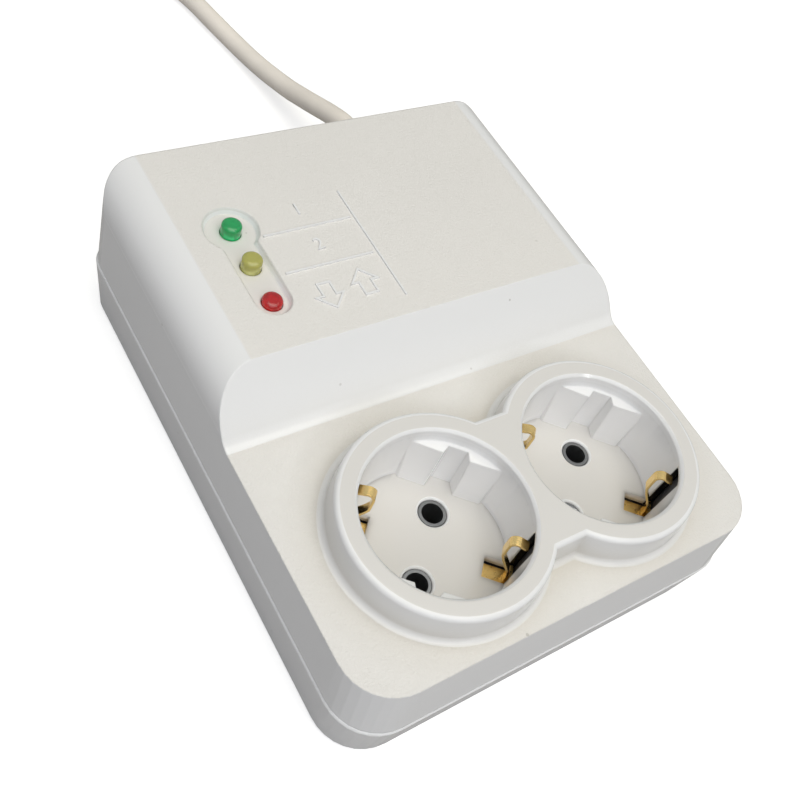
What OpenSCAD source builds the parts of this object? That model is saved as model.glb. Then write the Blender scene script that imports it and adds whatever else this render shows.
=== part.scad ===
// Voltage protector extension lead with two earthed sockets, in millimetres.
// The origin is at the middle of the case on the surface it stands on, sockets to the front at -Y.

/* [Case] */
// Distance from the rim round a socket to the side of the case
side_margin = 10.1; // [9.5:0.1:13]
// Length of the case at the parting line
case_l = 146; // [144:1:152]
// Plan radius of the two front corners
corner_r = 12.5; // [11:0.5:14]
// Plan radius of the two rear corners
rear_corner_r = 8; // [7:0.5:12]
// Height of the parting line above the table
part_z = 17; // [16.5:0.5:18]
// Height of the low front deck
deck_z = 33.5; // [32.5:0.5:35]
// Rise of the raised rear top above the deck
rear_rise = 13.5; // [13:0.5:16]
// Wall thickness of both shells
wall = 2.4; // [2:0.1:2.6]
// Radius of the two long edges of the raised top
edge_r = 11; // [8:0.5:12]
// Place of the sharp break between raised top and ramp, from the case middle
break_y = 7; // [5:0.5:9]
// Length of the ramp between the break and the deck, measured level
ramp_run = 11.9; // [10:0.1:14]
// Radius of the hollow at the foot of the ramp
ramp_foot_r = 5; // [3:0.5:7]
// How far each side wall leans in from the parting line to the top
side_lean = 0.5; // [0.2:0.1:1]
// How far the front wall leans in from the parting line to the deck
front_lean = 2.4; // [1.5:0.1:3]
// How far the rear wall leans in from the parting line to the top
rear_lean = 1.4; // [1:0.1:2]
// How far the base leans in from the parting line to the table
base_lean = 1.2; // [0.6:0.1:1.6]
// How far the upper shell stands in from the lower one at the parting line
part_step = 0.35; // [0.2:0.05:0.5]
// Rounding of the bottom edge of the base
base_round = 1.5; // [0.8:0.1:2]
// Height of the tongue that keys the two shells together
tongue_h = 1.5; // [1:0.1:2]

/* [Sockets] */
// Distance from each socket axis to the middle of the case
socket_x = 22.8; // [22.4:0.1:23.5]
// Distance of both socket axes in front of the case middle
socket_y = 40.4; // [39:0.1:42]
// Turn of the pin axis of each socket in plan, degrees
socket_turn = 47; // [43:1:49]
// Height of the flat rim round both wells
rim_z = 42; // [41.5:0.5:43]
// Radius of the rim at its upright wall
rim_r = 26.1; // [25.6:0.1:26.6]
// How far the rim wall leans in towards its top
rim_lean = 0.5; // [0.2:0.1:0.8]
// Rounding of the outer edge of the rim
rim_round = 1.2; // [0.6:0.1:1.6]
// Fillet between the rim and the deck
rim_fillet = 1.5; // [1:0.1:2]
// Half width of the neck that joins the two rims
neck_half = 18.1; // [17.4:0.1:19]
// Radius of the well at its mouth
well_r = 20.4; // [20.2:0.1:20.8]
// Radius of the well at its floor
well_floor_r = 20; // [19.6:0.1:20.2]
// Depth of the well below the rim
well_depth = 18; // [17.5:0.1:18.5]
// Distance between the two pins of a plug
pin_pitch = 19; // [18.8:0.1:19.2]
// Radius of the pin holes in the well floor
hole_r = 3.7; // [3.65:0.05:3.9]
// Bevel round the mouth of each pin hole
hole_bevel = 0.5; // [0.3:0.1:0.7]
// Distance of the guide rib faces from the socket axis at the well floor
guide_face = 15.9; // [15.7:0.1:16.4]
// Half width across a pair of guide ribs at their faces
guide_half = 10.2; // [9.6:0.1:10.8]
// Half width of the groove between a pair of guide ribs at their faces
guide_groove = 3.7; // [3:0.1:4]
// Half width of the same groove at its floor
guide_groove_in = 2.4; // [2:0.1:3]
// Height of the guide ribs above the well floor
guide_h = 14; // [12:0.1:14.5]
// Lean of the guide rib faces outwards from the socket axis, degrees
guide_lean = 4.8; // [0:0.1:6]

/* [Contacts] */
// Outer radius of a contact sleeve
sleeve_r = 3.5; // [3.4:0.05:3.6]
// Bore radius of a contact sleeve
sleeve_bore = 2.7; // [2.65:0.05:2.8]
// Depth of the sleeve mouth below the well floor
sleeve_sink = 0.5; // [0.4:0.1:1]
// Thickness of the earth strap
strap_t = 0.8; // [0.6:0.1:0.9]
// Width of the earth strap in the floor slots
strap_w = 4.8; // [4.4:0.1:5]
// Width of the spring tongue of an earth clip
clip_w = 2.4; // [2.2:0.1:3]
// Thickness of the spring tongue of an earth clip
clip_t = 0.6; // [0.5:0.05:0.8]
// Distance of the clip bend from the socket axis, where it grips the plug
clip_grip = 15.6; // [15.3:0.1:16]
// Height of the clip crown above the well floor
clip_h = 15; // [14:0.1:16]
// Thickness of the retainer plate below the wells
plate_t = 2.2; // [1.8:0.1:2.6]
// Width of the live and neutral bars
bar_w = 8.6; // [8.4:0.1:9]
// Thickness of the live and neutral bars
bar_t = 0.8; // [0.6:0.1:1]

/* [Indicators] */
// Distance of the indicator row left of the case middle
led_x = 36.1; // [35:0.1:37]
// Place of the front indicator behind the case middle
led_y = 20.9; // [20:0.1:22]
// Distance between neighbouring indicators
led_pitch = 11.2; // [10.6:0.1:11.4]
// Body radius of an indicator
led_r = 2.5; // [2.4:0.05:2.55]
// Depth of the keyhole recess round the indicators
recess_depth = 1.5; // [1:0.1:1.8]
// Half width of the narrow part of the recess at its floor
recess_slot = 3.9; // [3.6:0.1:4.4]
// Radius of the round end of the recess at its floor
recess_r = 6.2; // [5.8:0.1:6.8]
// How far the recess widens from its floor to the top
recess_lean = 0.8; // [0.4:0.1:1.2]
// Height of the two rear indicators above the recess floor
led_proud = 3.3; // [2.8:0.1:3.8]
// How much lower the front indicator sits
led_drop = 1.7; // [1:0.1:1.8]

/* [Circuit] */
// Distance from the raised top down to the underside of the circuit board
board_drop = 23; // [22.6:0.1:23.5]
// Thickness of the circuit board
board_t = 1.6; // [1.2:0.1:1.8]
// Width of the circuit board
board_w = 68; // [67:1:70]
// Depth of the circuit board, front to back
board_d = 48; // [47:1:49]
// Place of the board middle left of the case middle
board_x = 16; // [15:0.5:17]
// Place of the board middle behind the case middle
board_y = 32; // [31.5:0.5:33]
// Length of the relay
relay_l = 30; // [29:1:31]
// Width of the relay
relay_w = 21; // [20:0.5:22]
// Height of the relay
relay_h = 16.4; // [16.2:0.1:17]

/* [Cord] */
// Diameter of the cord
cord_d = 6.4; // [6.2:0.1:6.8]
// Place of the cord exit right of the case middle
exit_x = 35; // [33:0.5:37]
// Length of the tapered strain relief behind the case
relief_l = 22; // [20:1:24]
// Mean radius of the outermost turn of the coil
coil_r = 46.4; // [45:0.2:48]
// Turns in each layer of the coil
coil_turns = 2.75;
// Step between neighbouring turns and layers, in cord diameters
coil_step_share = 1.1; // [1.08:0.01:1.15]

/* [Plug] */
// Radius of the plug front that enters a well
plug_r = 18.5; // [18.2:0.1:18.6]
// Depth of the plug front that enters a well
plug_front = 17; // [16.5:0.1:17.4]
// Radius of the flat plug back
plug_back_r = 20.5; // [20:0.1:22]
// Thickness of the flat plug back
plug_back = 12.5; // [12:0.1:14]
// Length of a plug pin
pin_l = 19; // [18.8:0.1:19.2]
// Radius of a plug pin
pin_r = 2.4; // [2.38:0.01:2.42]
// Turn of the plug on the table, degrees
plug_turn = 125;

/* [Fasteners] */
// Shank radius of the case screws
screw_r = 1.45; // [1.3:0.05:1.6]
// Head radius of the case screws
screw_head = 2.8; // [2.6:0.1:3]
// Distance of the case screws from the sides of the case
screw_side = 10.5; // [10:0.1:11]
// Distance of the case screws from the two ends of the case
screw_end = 12; // [11.5:0.1:12.5]

/* [Hidden] */

$fn = 64;
hull_fn = 32;
arc_steps = 8;
// Thickness of the thin levels that a drafted hull spans
skin = 0.02;
// Overrun of a cut past the face that it opens
over = 0.6;
// Gap between pieces that lie face to face
seat = 0.1;
// Gap round a piece that slips into its hole
slip = 0.15;

shell_white = [0.93, 0.92, 0.90];
shell_inner = [0.90, 0.91, 0.92];
brass = [0.80, 0.62, 0.25];
steel = [0.72, 0.73, 0.75];
sleeve_grey = [0.32, 0.33, 0.34];
cord_cream = [0.86, 0.83, 0.79];
board_green = [0.16, 0.42, 0.25];
dark_plastic = [0.12, 0.12, 0.13];
copper = [0.70, 0.40, 0.22];

// Case sizes, levels and slopes
case_w = 2 * (socket_x + rim_r + side_margin);
top_z = deck_z + rear_rise;
board_z = top_z - board_drop;
screw_x = case_w / 2 - screw_side;
screw_y = case_l / 2 - screw_end;
part_bevel = 0.5;
ramp_foot_y = break_y - ramp_run;
ramp_angle = atan2(top_z - deck_z, ramp_run);
top_front_y = -case_l / 2 + front_lean * (top_z - part_z) / (deck_z - part_z);
top_rear_y = case_l / 2 - rear_lean;
roof_z = top_z - wall;
boss_bite_share = 0.25;
boss_r = 4;
post_r = 4.6;
pilot_gap = 0.05;
head_sink = 6;
head_h = 2;

// Socket levels, downwards from the well floor
well_wall = 2;
floor_z = rim_z - well_depth;
under_z = floor_z - wall;
collar_t = 1;
collar_r = 4.4;
plate_z = under_z - collar_t - 2 * seat;
sleeve_top = floor_z - sleeve_sink;
sleeve_low = floor_z - pin_l - seat;
bar_z = sleeve_low + 2;
slot_w = strap_w + 0.8;
slot_in = 14.2;
slot_out = 23.4;
slot_top = rim_z - 1.5;
strap_end = 21.4;
link_w = 4;
tab_h = 3;
plate_half_x = 41.6;
plate_half_y = 17.6;
back_in = 21.8;
back_t = 0.9;
back_w = 4.9;
back_gap = 1;
plate_screw_x = 49.4;
plate_screw_y = 10.8;
plate_boss_r = 3;
plate_screw_r = 1.2;
lip_cut = 0.7;
edge_steps = 6;
guide_slope = 0.5;
guide_groove_out = 19.2;

// Indicator levels
recess_z = top_z - recess_depth;
led_body_h = 8.6;
led_flange_r = 2.9;
led_flange_h = 1;
led_flange_wall = 0.9;
led_round = 0.8;
leg_pitch = 2.54;
leg_t = 0.5;

// Circuit levels and places on the board
board_top = board_z + board_t;
board_boss_r = 3.5;
board_boss_x = 30;
board_boss_y = 19;
board_screw_r = 1.2;
relay_x = -8;
relay_y = 37.5;
relay_wall = 0.9;
relay_base_h = 2;
relay_slack = 0.9;
trimmer_x = -44.6;
trimmer_low_y = 24.5;
trimmer_high_y = 36.5;
trimmer_w = 6.8;
trimmer_h = 4.6;
rotor_r = 2.2;
rotor_gap = 0.06;
rotor_sink = 1.2;
terminal_x = -6;
terminal_y = 12.4;
terminal_w = 20;
terminal_d = 8;
terminal_h = 9;
terminal_bore = 1.6;
dropper_place = [-11.5, 19];
dropper_size = [17, 7, 12];
smoothing_place = [12, 32.5];
smoothing_r = 4.8;
smoothing_h = 13;
varistor_place = [12.4, 41.8];
varistor_r = 5;
varistor_t = 3.6;
varistor_lift = 6;
chip_place = [-25.5, 10.2];
chip_size = [6.4, 16, 3.4];
chip_lift = 0.5;
chip_leg = [0.6, 1, 2.2];
chip_leg_x = 3.5;
chip_leg_y = 1.1;
chip_pitch = 2.1;
resistor_place = [-30.6, 34.6];
resistor_pitch = 3.4;
resistor_l = 5.6;
resistor_r = 1.1;
diode_place = [9.4, 17.6];
diode_pitch = 2.7;
diode_l = 4.4;
diode_r = 1;
leg_out = 1.2;

// Cord levels
cord_r = cord_d / 2;
bush_neck_r = 5.4;
bush_flange_r = 7.2;
bush_flange_t = 2;
bush_inner = wall + bush_flange_t + base_lean / 2 + 2 * seat;
relief_end_y = case_l / 2 + seat + relief_l;
clamp_y = 50;
clamp_d = 8;
clamp_half = 12.5;
clamp_screw_x = 8.6;
tail_end_y = 42;
wire_r = 1.3;
bar_top = bar_z + bar_t;
coil_step = cord_d * coil_step_share;
coil_inner = coil_r - coil_turns * coil_step;
tie_t = 0.6;
tie_w = 7;
coil_low_z = cord_r + tie_t + seat;
coil_x = 41.41;
coil_y = 242.78;
coil_start = 215;
coil_dip_share = 0.15;
cord_sides = 8;
coil_sides = 6;
coil_rings = 24;

// Route of the cord from the strain relief to the coil, then from the coil to the plug
cord_route = [
    [35, 95.1, 17], [34.55, 100, 16.6], [33.4, 107, 14.9], [32.1, 115, 12.3], [31.2, 121.5, 10.2],
    [30.3, 128.4, 8.1], [28.4, 142.7, 5], [26.4, 156.3, 3.5], [23.6, 170.6, 3.3], [21.2, 182.3, 3.3],
    [18.1, 191.5, 3.35], [13.6, 201, 3.5], [8.1, 209.6, 3.75], [3.4, 216.17, 3.9]
];
plug_route = [
    [3.4, 216.17, 10.94], [-1.2, 222.7, 10.8], [-5.8, 229.3, 10.1],
    [-10.4, 235.8, 8.9], [-14.4, 241.6, 7.6], [-18.4, 247.3, 6.8]
];

// Plug places
plug_x = -43.64;
plug_y = 283.34;
plug_axis_z = 6.8;
plug_neck_x = -30;
plug_relief_x = -44;
plug_relief_r = 5;
plug_guide_face = guide_face - 5 * seat;
plug_earth_face = clip_grip + 9 * seat;
plug_contact_t = 1.1;
pin_shank_r = pin_r - 5 * seat;

function unit(v) = v / norm(v);
function arc(c, r, a0, a1, n = arc_steps) =
    [for (i = [0:n]) let (a = a0 + (a1 - a0) * i / n) [c[0] + r * cos(a), c[1] + r * sin(a)]];
function mirrored(points) = [for (i = [len(points) - 1:-1:0]) [-points[i][0], points[i][1]]];

// Point at share t of the stretch between p[i] and p[i+1] of a smooth curve through all points
function curve_point(p, i, t) =
    let (a = p[max(i - 1, 0)], b = p[i], c = p[i + 1], d = p[min(i + 2, len(p) - 1)])
    ((2 * b) + (c - a) * t + (2 * a - 5 * b + 4 * c - d) * t * t + (3 * b - a - 3 * c + d) * t * t * t) / 2;
function smooth(p, n) =
    concat([for (i = [0:len(p) - 2], k = [0:n - 1]) curve_point(p, i, k / n)], [p[len(p) - 1]]);
function heading(p, i) = unit(p[min(i + 1, len(p) - 1)] - p[max(i - 1, 0)]);

// Unbroken tube with the given number of sides along a list of points
module tube(path, r, sides, up = [0, 0, 1], first = undef, last = undef) {
    rings = [for (i = [0:len(path) - 1])
        let (
            t = (i == 0 && first != undef) ? first
                : (i == len(path) - 1 && last != undef) ? last : heading(path, i),
            s = unit(cross(t, up)),
            u = cross(s, t)
        )
        for (k = [0:sides - 1])
            path[i] + r * (cos(360 * k / sides) * s + sin(360 * k / sides) * u)];
    count = len(path);
    sheath = [for (i = [0:count - 2], k = [0:sides - 1])
        let (n = (k + 1) % sides, a = i * sides, b = (i + 1) * sides)
        each [[a + k, b + k, b + n], [a + k, b + n, a + n]]];
    caps = [
        [for (k = [0:sides - 1]) k],
        [for (k = [sides - 1:-1:0]) (count - 1) * sides + k]
    ];
    polyhedron(points = rings, faces = concat(sheath, caps), convexity = 6);
}

// Level rounded slab, one end of a drafted hull, moved in by inset on every side
module slab(half_w, front_y, rear_y, inset, z) {
    for (side = [-1, 1], end = [-1, 1]) {
        r = (end > 0 ? rear_corner_r : corner_r) - inset;
        translate([side * (half_w - inset - r), end > 0 ? rear_y - inset - r : front_y + inset + r, z])
            cylinder(r = r, h = skin, $fn = hull_fn);
    }
}

// Upright prism with the rounded plan of the parting line, moved in by inset
module rounded_prism(inset, z, h) {
    half_w = case_w / 2 - inset;
    half_l = case_l / 2 - inset;
    front_r = corner_r - inset;
    rear_r = rear_corner_r - inset;
    translate([0, 0, z]) {
        translate([-half_w + front_r, -half_l, 0]) cube([2 * (half_w - front_r), 2 * half_l - rear_r, h]);
        translate([-half_w + rear_r, 0, 0]) cube([2 * (half_w - rear_r), half_l, h]);
        translate([-half_w, -half_l + front_r, 0]) cube([2 * half_w, 2 * half_l - front_r - rear_r, h]);
        for (side = [-1, 1]) {
            translate([side * (half_w - front_r), -half_l + front_r, 0]) cylinder(r = front_r, h = h);
            translate([side * (half_w - rear_r), half_l - rear_r, 0]) cylinder(r = rear_r, h = h);
        }
    }
}

// Side view of the upper case as a prism across it: deck, ramp and raised top
module side_view(inset, low) {
    shift = inset * tan(ramp_angle / 2);
    foot = ramp_foot_y + shift;
    fillet = ramp_foot_r + inset;
    reach = fillet * tan(ramp_angle / 2);
    rotate([90, 0, 90]) translate([0, 0, -case_w]) linear_extrude(height = 2 * case_w)
        polygon(concat(
            [[-case_l, low], [case_l, low], [case_l, top_z - inset], [break_y + shift, top_z - inset]],
            arc([foot - reach, deck_z - inset + fillet], fillet, ramp_angle - 90, -90),
            [[-case_l, deck_z - inset]]
        ));
}

// Front view of the upper case as a prism along it, with the two long edges rounded
module front_view(inset, low) {
    half = case_w / 2 - inset;
    r = edge_r - inset;
    flat = half - side_lean - r;
    crown_z = top_z - inset - r;
    edge = [[half + wall, low], [half + wall, part_z], [flat + r, crown_z]];
    rotate([90, 0, 0]) translate([0, 0, -case_l]) {
        linear_extrude(height = 2 * case_l) polygon(concat(edge, mirrored(edge)));
        translate([-flat, crown_z - wall, 0]) cube([2 * flat, r + wall, 2 * case_l]);
        for (side = [-1, 1]) translate([side * flat, crown_z, 0]) cylinder(h = 2 * case_l, r = r);
    }
}

// Drafted outer form of the upper case, moved in by inset on every face
module upper_form(inset, low) {
    intersection() {
        hull() {
            slab(case_w / 2 - part_step, -case_l / 2 + part_step, case_l / 2 - part_step, inset, low);
            slab(case_w / 2 - side_lean, top_front_y, top_rear_y, inset, top_z - inset - skin);
        }
        side_view(inset, low);
        front_view(inset, low);
    }
}

// Drafted outer form of the base
module lower_form(inset, bottom, top) {
    half = case_w / 2;
    half_l = case_l / 2;
    low = half_l - base_lean;
    hull() {
        slab(half - base_lean, -low, low, inset + base_round, bottom);
        slab(half - base_lean, -low, low, inset + base_round * (1 - cos(45)), bottom + base_round * (1 - sin(45)));
        slab(half - base_lean, -low, low, inset, bottom + base_round);
        slab(half, -half_l, half_l, inset, top - part_bevel);
        slab(half, -half_l, half_l, inset + part_bevel, top - skin);
    }
}

module at_sockets() {
    for (side = [-1, 1]) translate([side * socket_x, -socket_y, 0]) children();
}

// Frame of one socket: X along the pin axis, Y towards the rear earth clip
module in_socket(side) {
    translate([side * socket_x, -socket_y, 0]) rotate([0, 0, socket_turn]) children();
}

module at_case_screws() {
    for (side = [-1, 1], end = [-1, 1]) translate([side * screw_x, end * screw_y, 0]) children();
}

module at_board_bosses() {
    for (side = [-1, 1], end = [-1, 1])
        translate([-board_x + side * board_boss_x, board_y + end * board_boss_y, 0]) children();
}

module at_plate_screws() {
    for (p = [[-plate_screw_x, 0], [plate_screw_x, 0], [0, -plate_screw_y]])
        translate([p[0], p[1] - socket_y, 0]) children();
}

// Rim in section outwards from its axis, as radius and height: fillet, leaning wall, rounded top
rim_line = concat(
    [[rim_r + rim_fillet, deck_z - wall / 2]],
    arc([rim_r + rim_fillet, deck_z + rim_fillet], rim_fillet, -90, -180, edge_steps),
    arc([rim_r - rim_lean - rim_round, rim_z - rim_round], rim_round, 0, 90, edge_steps)
);

// Figure of eight rim round both wells, joined by a straight neck with the same edge
module rim() {
    at_sockets() rotate_extrude() polygon(concat([[0, deck_z - wall / 2]], rim_line, [[0, rim_z]]));
    neck = [for (p = rim_line) [p[0] - rim_r + neck_half, p[1]]];
    last = len(neck) - 1;
    translate([-socket_x / 3, -socket_y, 0]) rotate([90, 0, 90]) linear_extrude(height = 2 * socket_x / 3)
        polygon(concat(neck, [for (i = [0:last]) [-neck[last - i][0], neck[last - i][1]]]));
}

module well_cut() {
    translate([0, 0, floor_z]) cylinder(h = well_depth, r1 = well_floor_r, r2 = well_r);
    translate([0, 0, rim_z - lip_cut]) cylinder(h = lip_cut, r1 = well_r, r2 = well_r + lip_cut);
    translate([0, 0, rim_z]) cylinder(h = over, r = well_r + lip_cut);
}

// Pin holes and the two earth slots through floor and wall of one well
module contact_cuts(side) {
    in_socket(side) {
        for (end = [-1, 1]) {
            translate([end * pin_pitch / 2, 0, 0]) {
                translate([0, 0, under_z - over]) cylinder(h = floor_z - under_z + 2 * over, r = hole_r);
                translate([0, 0, floor_z - hole_bevel]) cylinder(h = hole_bevel + seat, r1 = hole_r, r2 = hole_r + hole_bevel + seat);
            }
            translate([-slot_w / 2, end > 0 ? slot_in : -slot_out, under_z - over])
                cube([slot_w, slot_out - slot_in, slot_top - under_z + over]);
        }
    }
}

// Two flat guide ribs on the wall of one well, leaning outwards, each split by a tapered groove
module guide_ribs(side) {
    out = well_r + well_wall;
    front = guide_face - seat;
    end_half = guide_half + out - front;
    in_socket(side) intersection() {
        rotate_extrude() polygon([
            [0, floor_z - seat], [well_floor_r + well_wall / 2, floor_z - seat],
            [well_floor_r + well_wall / 2, floor_z + guide_h], [well_r, floor_z + guide_h],
            [guide_face, floor_z + guide_h - guide_slope], [0, floor_z + guide_h - guide_slope]
        ]);
        for (turn = [0, 180]) rotate([0, 0, turn]) intersection() {
            translate([0, 0, floor_z - seat]) linear_extrude(height = guide_h + 2 * seat) polygon([
                [front, -guide_half], [out, -end_half], [out, end_half], [front, guide_half],
                [front, guide_groove], [guide_groove_out, guide_groove_in],
                [guide_groove_out, -guide_groove_in], [front, -guide_groove]
            ]);
            translate([guide_face, 0, floor_z]) rotate([0, guide_lean, 0])
                translate([0, -out, -well_wall]) cube([out, 2 * out, guide_h + 2 * well_wall]);
        }
    }
}

// Keyhole outline of the indicator recess, larger by grow, widening upwards by lean
module keyhole(z, h, grow, lean = 0) {
    rear_y = led_y + 2 * led_pitch;
    slot = recess_slot + grow;
    translate([-led_x, rear_y, z]) cylinder(h = h, r1 = recess_r + grow, r2 = recess_r + grow + lean);
    translate([-led_x, led_y, z]) cylinder(h = h, r1 = slot, r2 = slot + lean);
    translate([-led_x, rear_y, z]) rotate([90, 0, 0]) linear_extrude(height = rear_y - led_y)
        polygon([[-slot, 0], [slot, 0], [slot + lean, h], [-slot - lean, h]]);
}

module cord_hole(r) {
    translate([exit_x, case_l / 2 - 2 * wall, part_z]) rotate([-90, 0, 0]) cylinder(h = 3 * wall, r = r);
}

module top_shell() color(shell_white) {
    difference() {
        union() {
            difference() {
                upper_form(0, part_z);
                upper_form(wall, part_z - over);
            }
            at_sockets() translate([0, 0, under_z]) cylinder(h = deck_z - under_z, r = well_r + well_wall);
            rim();
            keyhole(roof_z - wall / 3, wall / 2, well_wall);
            at_case_screws() translate([0, 0, part_z + seat])
                cylinder(h = deck_z - boss_bite_share * wall * 3 - part_z - seat, r = boss_r);
            for (side = [-1, 1]) translate([side * screw_x, screw_y, part_z + seat])
                cylinder(h = roof_z + boss_bite_share * wall - part_z - seat, r = boss_r);
            at_board_bosses() translate([0, 0, board_top])
                cylinder(h = roof_z + boss_bite_share * wall - board_top, r = board_boss_r);
            at_plate_screws() translate([0, 0, plate_z])
                cylinder(h = deck_z - wall / 2 - plate_z, r = plate_boss_r);
        }
        at_sockets() well_cut();
        for (side = [-1, 1]) contact_cuts(side);
        keyhole(recess_z, recess_depth, 0, recess_lean);
        keyhole(top_z, over, recess_lean);
        for (i = [0:2]) translate([-led_x, led_y + i * led_pitch, roof_z - wall])
            cylinder(h = 2 * wall, r = led_r + slip);
        at_case_screws() translate([0, 0, part_z]) cylinder(h = part_z - head_sink - head_h + wall, r = screw_r + pilot_gap);
        at_board_bosses() translate([0, 0, board_top - over]) cylinder(h = 3 * wall, r = board_screw_r + pilot_gap);
        at_plate_screws() translate([0, 0, plate_z - over]) cylinder(h = 3 * wall, r = plate_screw_r + pilot_gap);
        difference() {
            rounded_prism(wall / 2 - slip, part_z - over, over + tongue_h + slip);
            rounded_prism(2 * wall, part_z - 2 * over, 3 * over + tongue_h + slip);
        }
        cord_hole(bush_neck_r + slip);
    }
    for (side = [-1, 1]) guide_ribs(side);
}

module bottom_shell() color(shell_white) {
    difference() {
        union() {
            difference() {
                union() {
                    lower_form(0, 0, part_z);
                    rounded_prism(wall / 2, part_z - wall, wall + tongue_h);
                }
                lower_form(wall, wall, part_z + tongue_h + over);
            }
            at_case_screws() translate([0, 0, wall / 2]) cylinder(h = part_z - wall / 2, r = post_r);
            translate([exit_x - clamp_half, clamp_y - clamp_d / 2, wall / 2])
                cube([2 * clamp_half, clamp_d, part_z - wall / 2]);
        }
        at_case_screws() {
            translate([0, 0, -over]) cylinder(h = head_sink + over, r = screw_head + slip);
            cylinder(h = part_z + over, r = screw_r + slip);
        }
        for (side = [-1, 1]) translate([exit_x + side * clamp_screw_x, clamp_y, part_z - 3 * wall])
            cylinder(h = 3 * wall + over, r = plate_screw_r + pilot_gap);
        translate([exit_x, clamp_y - clamp_d, part_z]) rotate([-90, 0, 0]) cylinder(h = 2 * clamp_d, r = cord_r + pilot_gap);
        cord_hole(bush_neck_r + slip);
    }
}

// Screw pointing up, with its head at the bottom and a cross recess
module screw(head, head_t, shank, length) {
    difference() {
        union() {
            cylinder(h = head_t, r = head);
            cylinder(h = head_t + length, r = shank);
        }
        for (turn = [0, 90]) rotate([0, 0, turn])
            translate([-head / 2, -head / 8, -over]) cube([head, head / 4, over + head_t / 2]);
    }
}

module case_screws() color(steel)
    at_case_screws() translate([0, 0, head_sink - head_h])
        screw(screw_head, head_h, screw_r, part_z - head_sink + part_z - head_sink - head_h);

// Plate that holds sleeves and earth strap up against the well floors
module contact_retainer() color(dark_plastic) difference() {
    translate([0, -socket_y, plate_z - plate_t]) {
        translate([-plate_half_x, -plate_half_y, 0]) cube([2 * plate_half_x, 2 * plate_half_y, plate_t]);
        for (side = [-1, 1]) {
            translate([side > 0 ? 0 : -plate_screw_x, -2 * plate_boss_r / 2, 0])
                cube([plate_screw_x, 2 * plate_boss_r, plate_t]);
            translate([side * plate_screw_x, 0, 0]) cylinder(h = plate_t, r = plate_boss_r);
        }
        for (end = [-1, 1])
            translate([-plate_half_x + wall, end > 0 ? plate_half_y - wall / 2 : -plate_half_y, -wall])
                cube([2 * (plate_half_x - wall), wall / 2, wall]);
    }
    for (side = [-1, 1]) in_socket(side) for (end = [-1, 1])
        translate([end * pin_pitch / 2, 0, plate_z - plate_t - 2 * wall])
            cylinder(h = plate_t + 3 * wall, r = sleeve_r + slip);
    at_plate_screws() translate([0, 0, plate_z - plate_t - over])
        cylinder(h = plate_t + 2 * over, r = plate_screw_r + slip);
}

// Dark upright backs that close the earth slots behind the clips
module clip_backs() color(dark_plastic) for (side = [-1, 1]) in_socket(side) for (end = [-1, 1])
    translate([-back_w / 2, end > 0 ? back_in : -back_in - back_t, plate_z + seat])
        cube([back_w, back_t, slot_top - back_gap - plate_z - seat]);

module retainer_screws() color(steel)
    at_plate_screws() translate([0, 0, plate_z - plate_t - head_h]) screw(screw_head - 2 * slip, head_h, plate_screw_r, plate_t + 2 * wall);

// Slit spring sleeve for one plug pin, hanging from its collar
module sleeve(side, end) color(sleeve_grey) in_socket(side)
    translate([end * pin_pitch / 2, 0, 0]) difference() {
        union() {
            translate([0, 0, sleeve_low]) cylinder(h = sleeve_top - sleeve_low, r = sleeve_r);
            translate([0, 0, plate_z + seat]) cylinder(h = collar_t, r = collar_r);
        }
        translate([0, 0, sleeve_low - over]) cylinder(h = sleeve_top - sleeve_low + 2 * over, r = sleeve_bore);
        for (turn = [45, 135]) rotate([0, 0, turn])
            translate([-collar_r, -slip, bar_top + wall])
                cube([2 * collar_r, 2 * slip, plate_z - plate_t - bar_top - 2 * wall]);
    }

module live_sleeve_left() sleeve(-1, 1);
module neutral_sleeve_left() sleeve(-1, -1);
module live_sleeve_right() sleeve(1, 1);
module neutral_sleeve_right() sleeve(1, -1);

// Bar that joins one sleeve of each socket, with a solder lug at one end
module contact_bar(end, lug_side) {
    off_x = end * pin_pitch / 2 * cos(socket_turn);
    off_y = end * pin_pitch / 2 * sin(socket_turn);
    lug = 7;
    translate([0, off_y - socket_y, bar_z]) difference() {
        union() {
            for (side = [-1, 1]) translate([side * socket_x + off_x, 0, 0]) cylinder(h = bar_t, r = bar_w / 2);
            translate([off_x - socket_x, -bar_w / 4, 0]) cube([2 * socket_x, bar_w / 2, bar_t]);
            translate([lug_side > 0 ? off_x + socket_x : off_x - socket_x - lug - bar_w / 2, -bar_w / 4, 0])
                cube([lug + bar_w / 2, bar_w / 2, bar_t]);
        }
        for (side = [-1, 1]) translate([side * socket_x + off_x, 0, -over])
            cylinder(h = bar_t + 2 * over, r = sleeve_r + pilot_gap);
    }
}

module live_bar() color(brass) contact_bar(1, -1);
module neutral_bar() color(brass) contact_bar(-1, 1);

// One stamped strap: a leg across each well, a link between the wells and a lug to the rear
module earth_strap() color(brass) {
    for (side = [-1, 1]) in_socket(side) translate([0, 0, plate_z]) {
        translate([-strap_w / 2, -strap_end, 0]) cube([strap_w, 2 * strap_end, strap_t]);
        for (end = [-1, 1]) translate([-strap_w / 2, end > 0 ? strap_end - strap_t : -strap_end, 0])
            cube([strap_w, strap_t, strap_t + tab_h]);
    }
    translate([-socket_x, -socket_y - link_w / 2, plate_z]) cube([2 * socket_x, link_w, strap_t]);
    translate([-link_w / 2, -socket_y, plate_z]) cube([link_w, plate_half_y + 2 * link_w, strap_t]);
}

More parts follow.
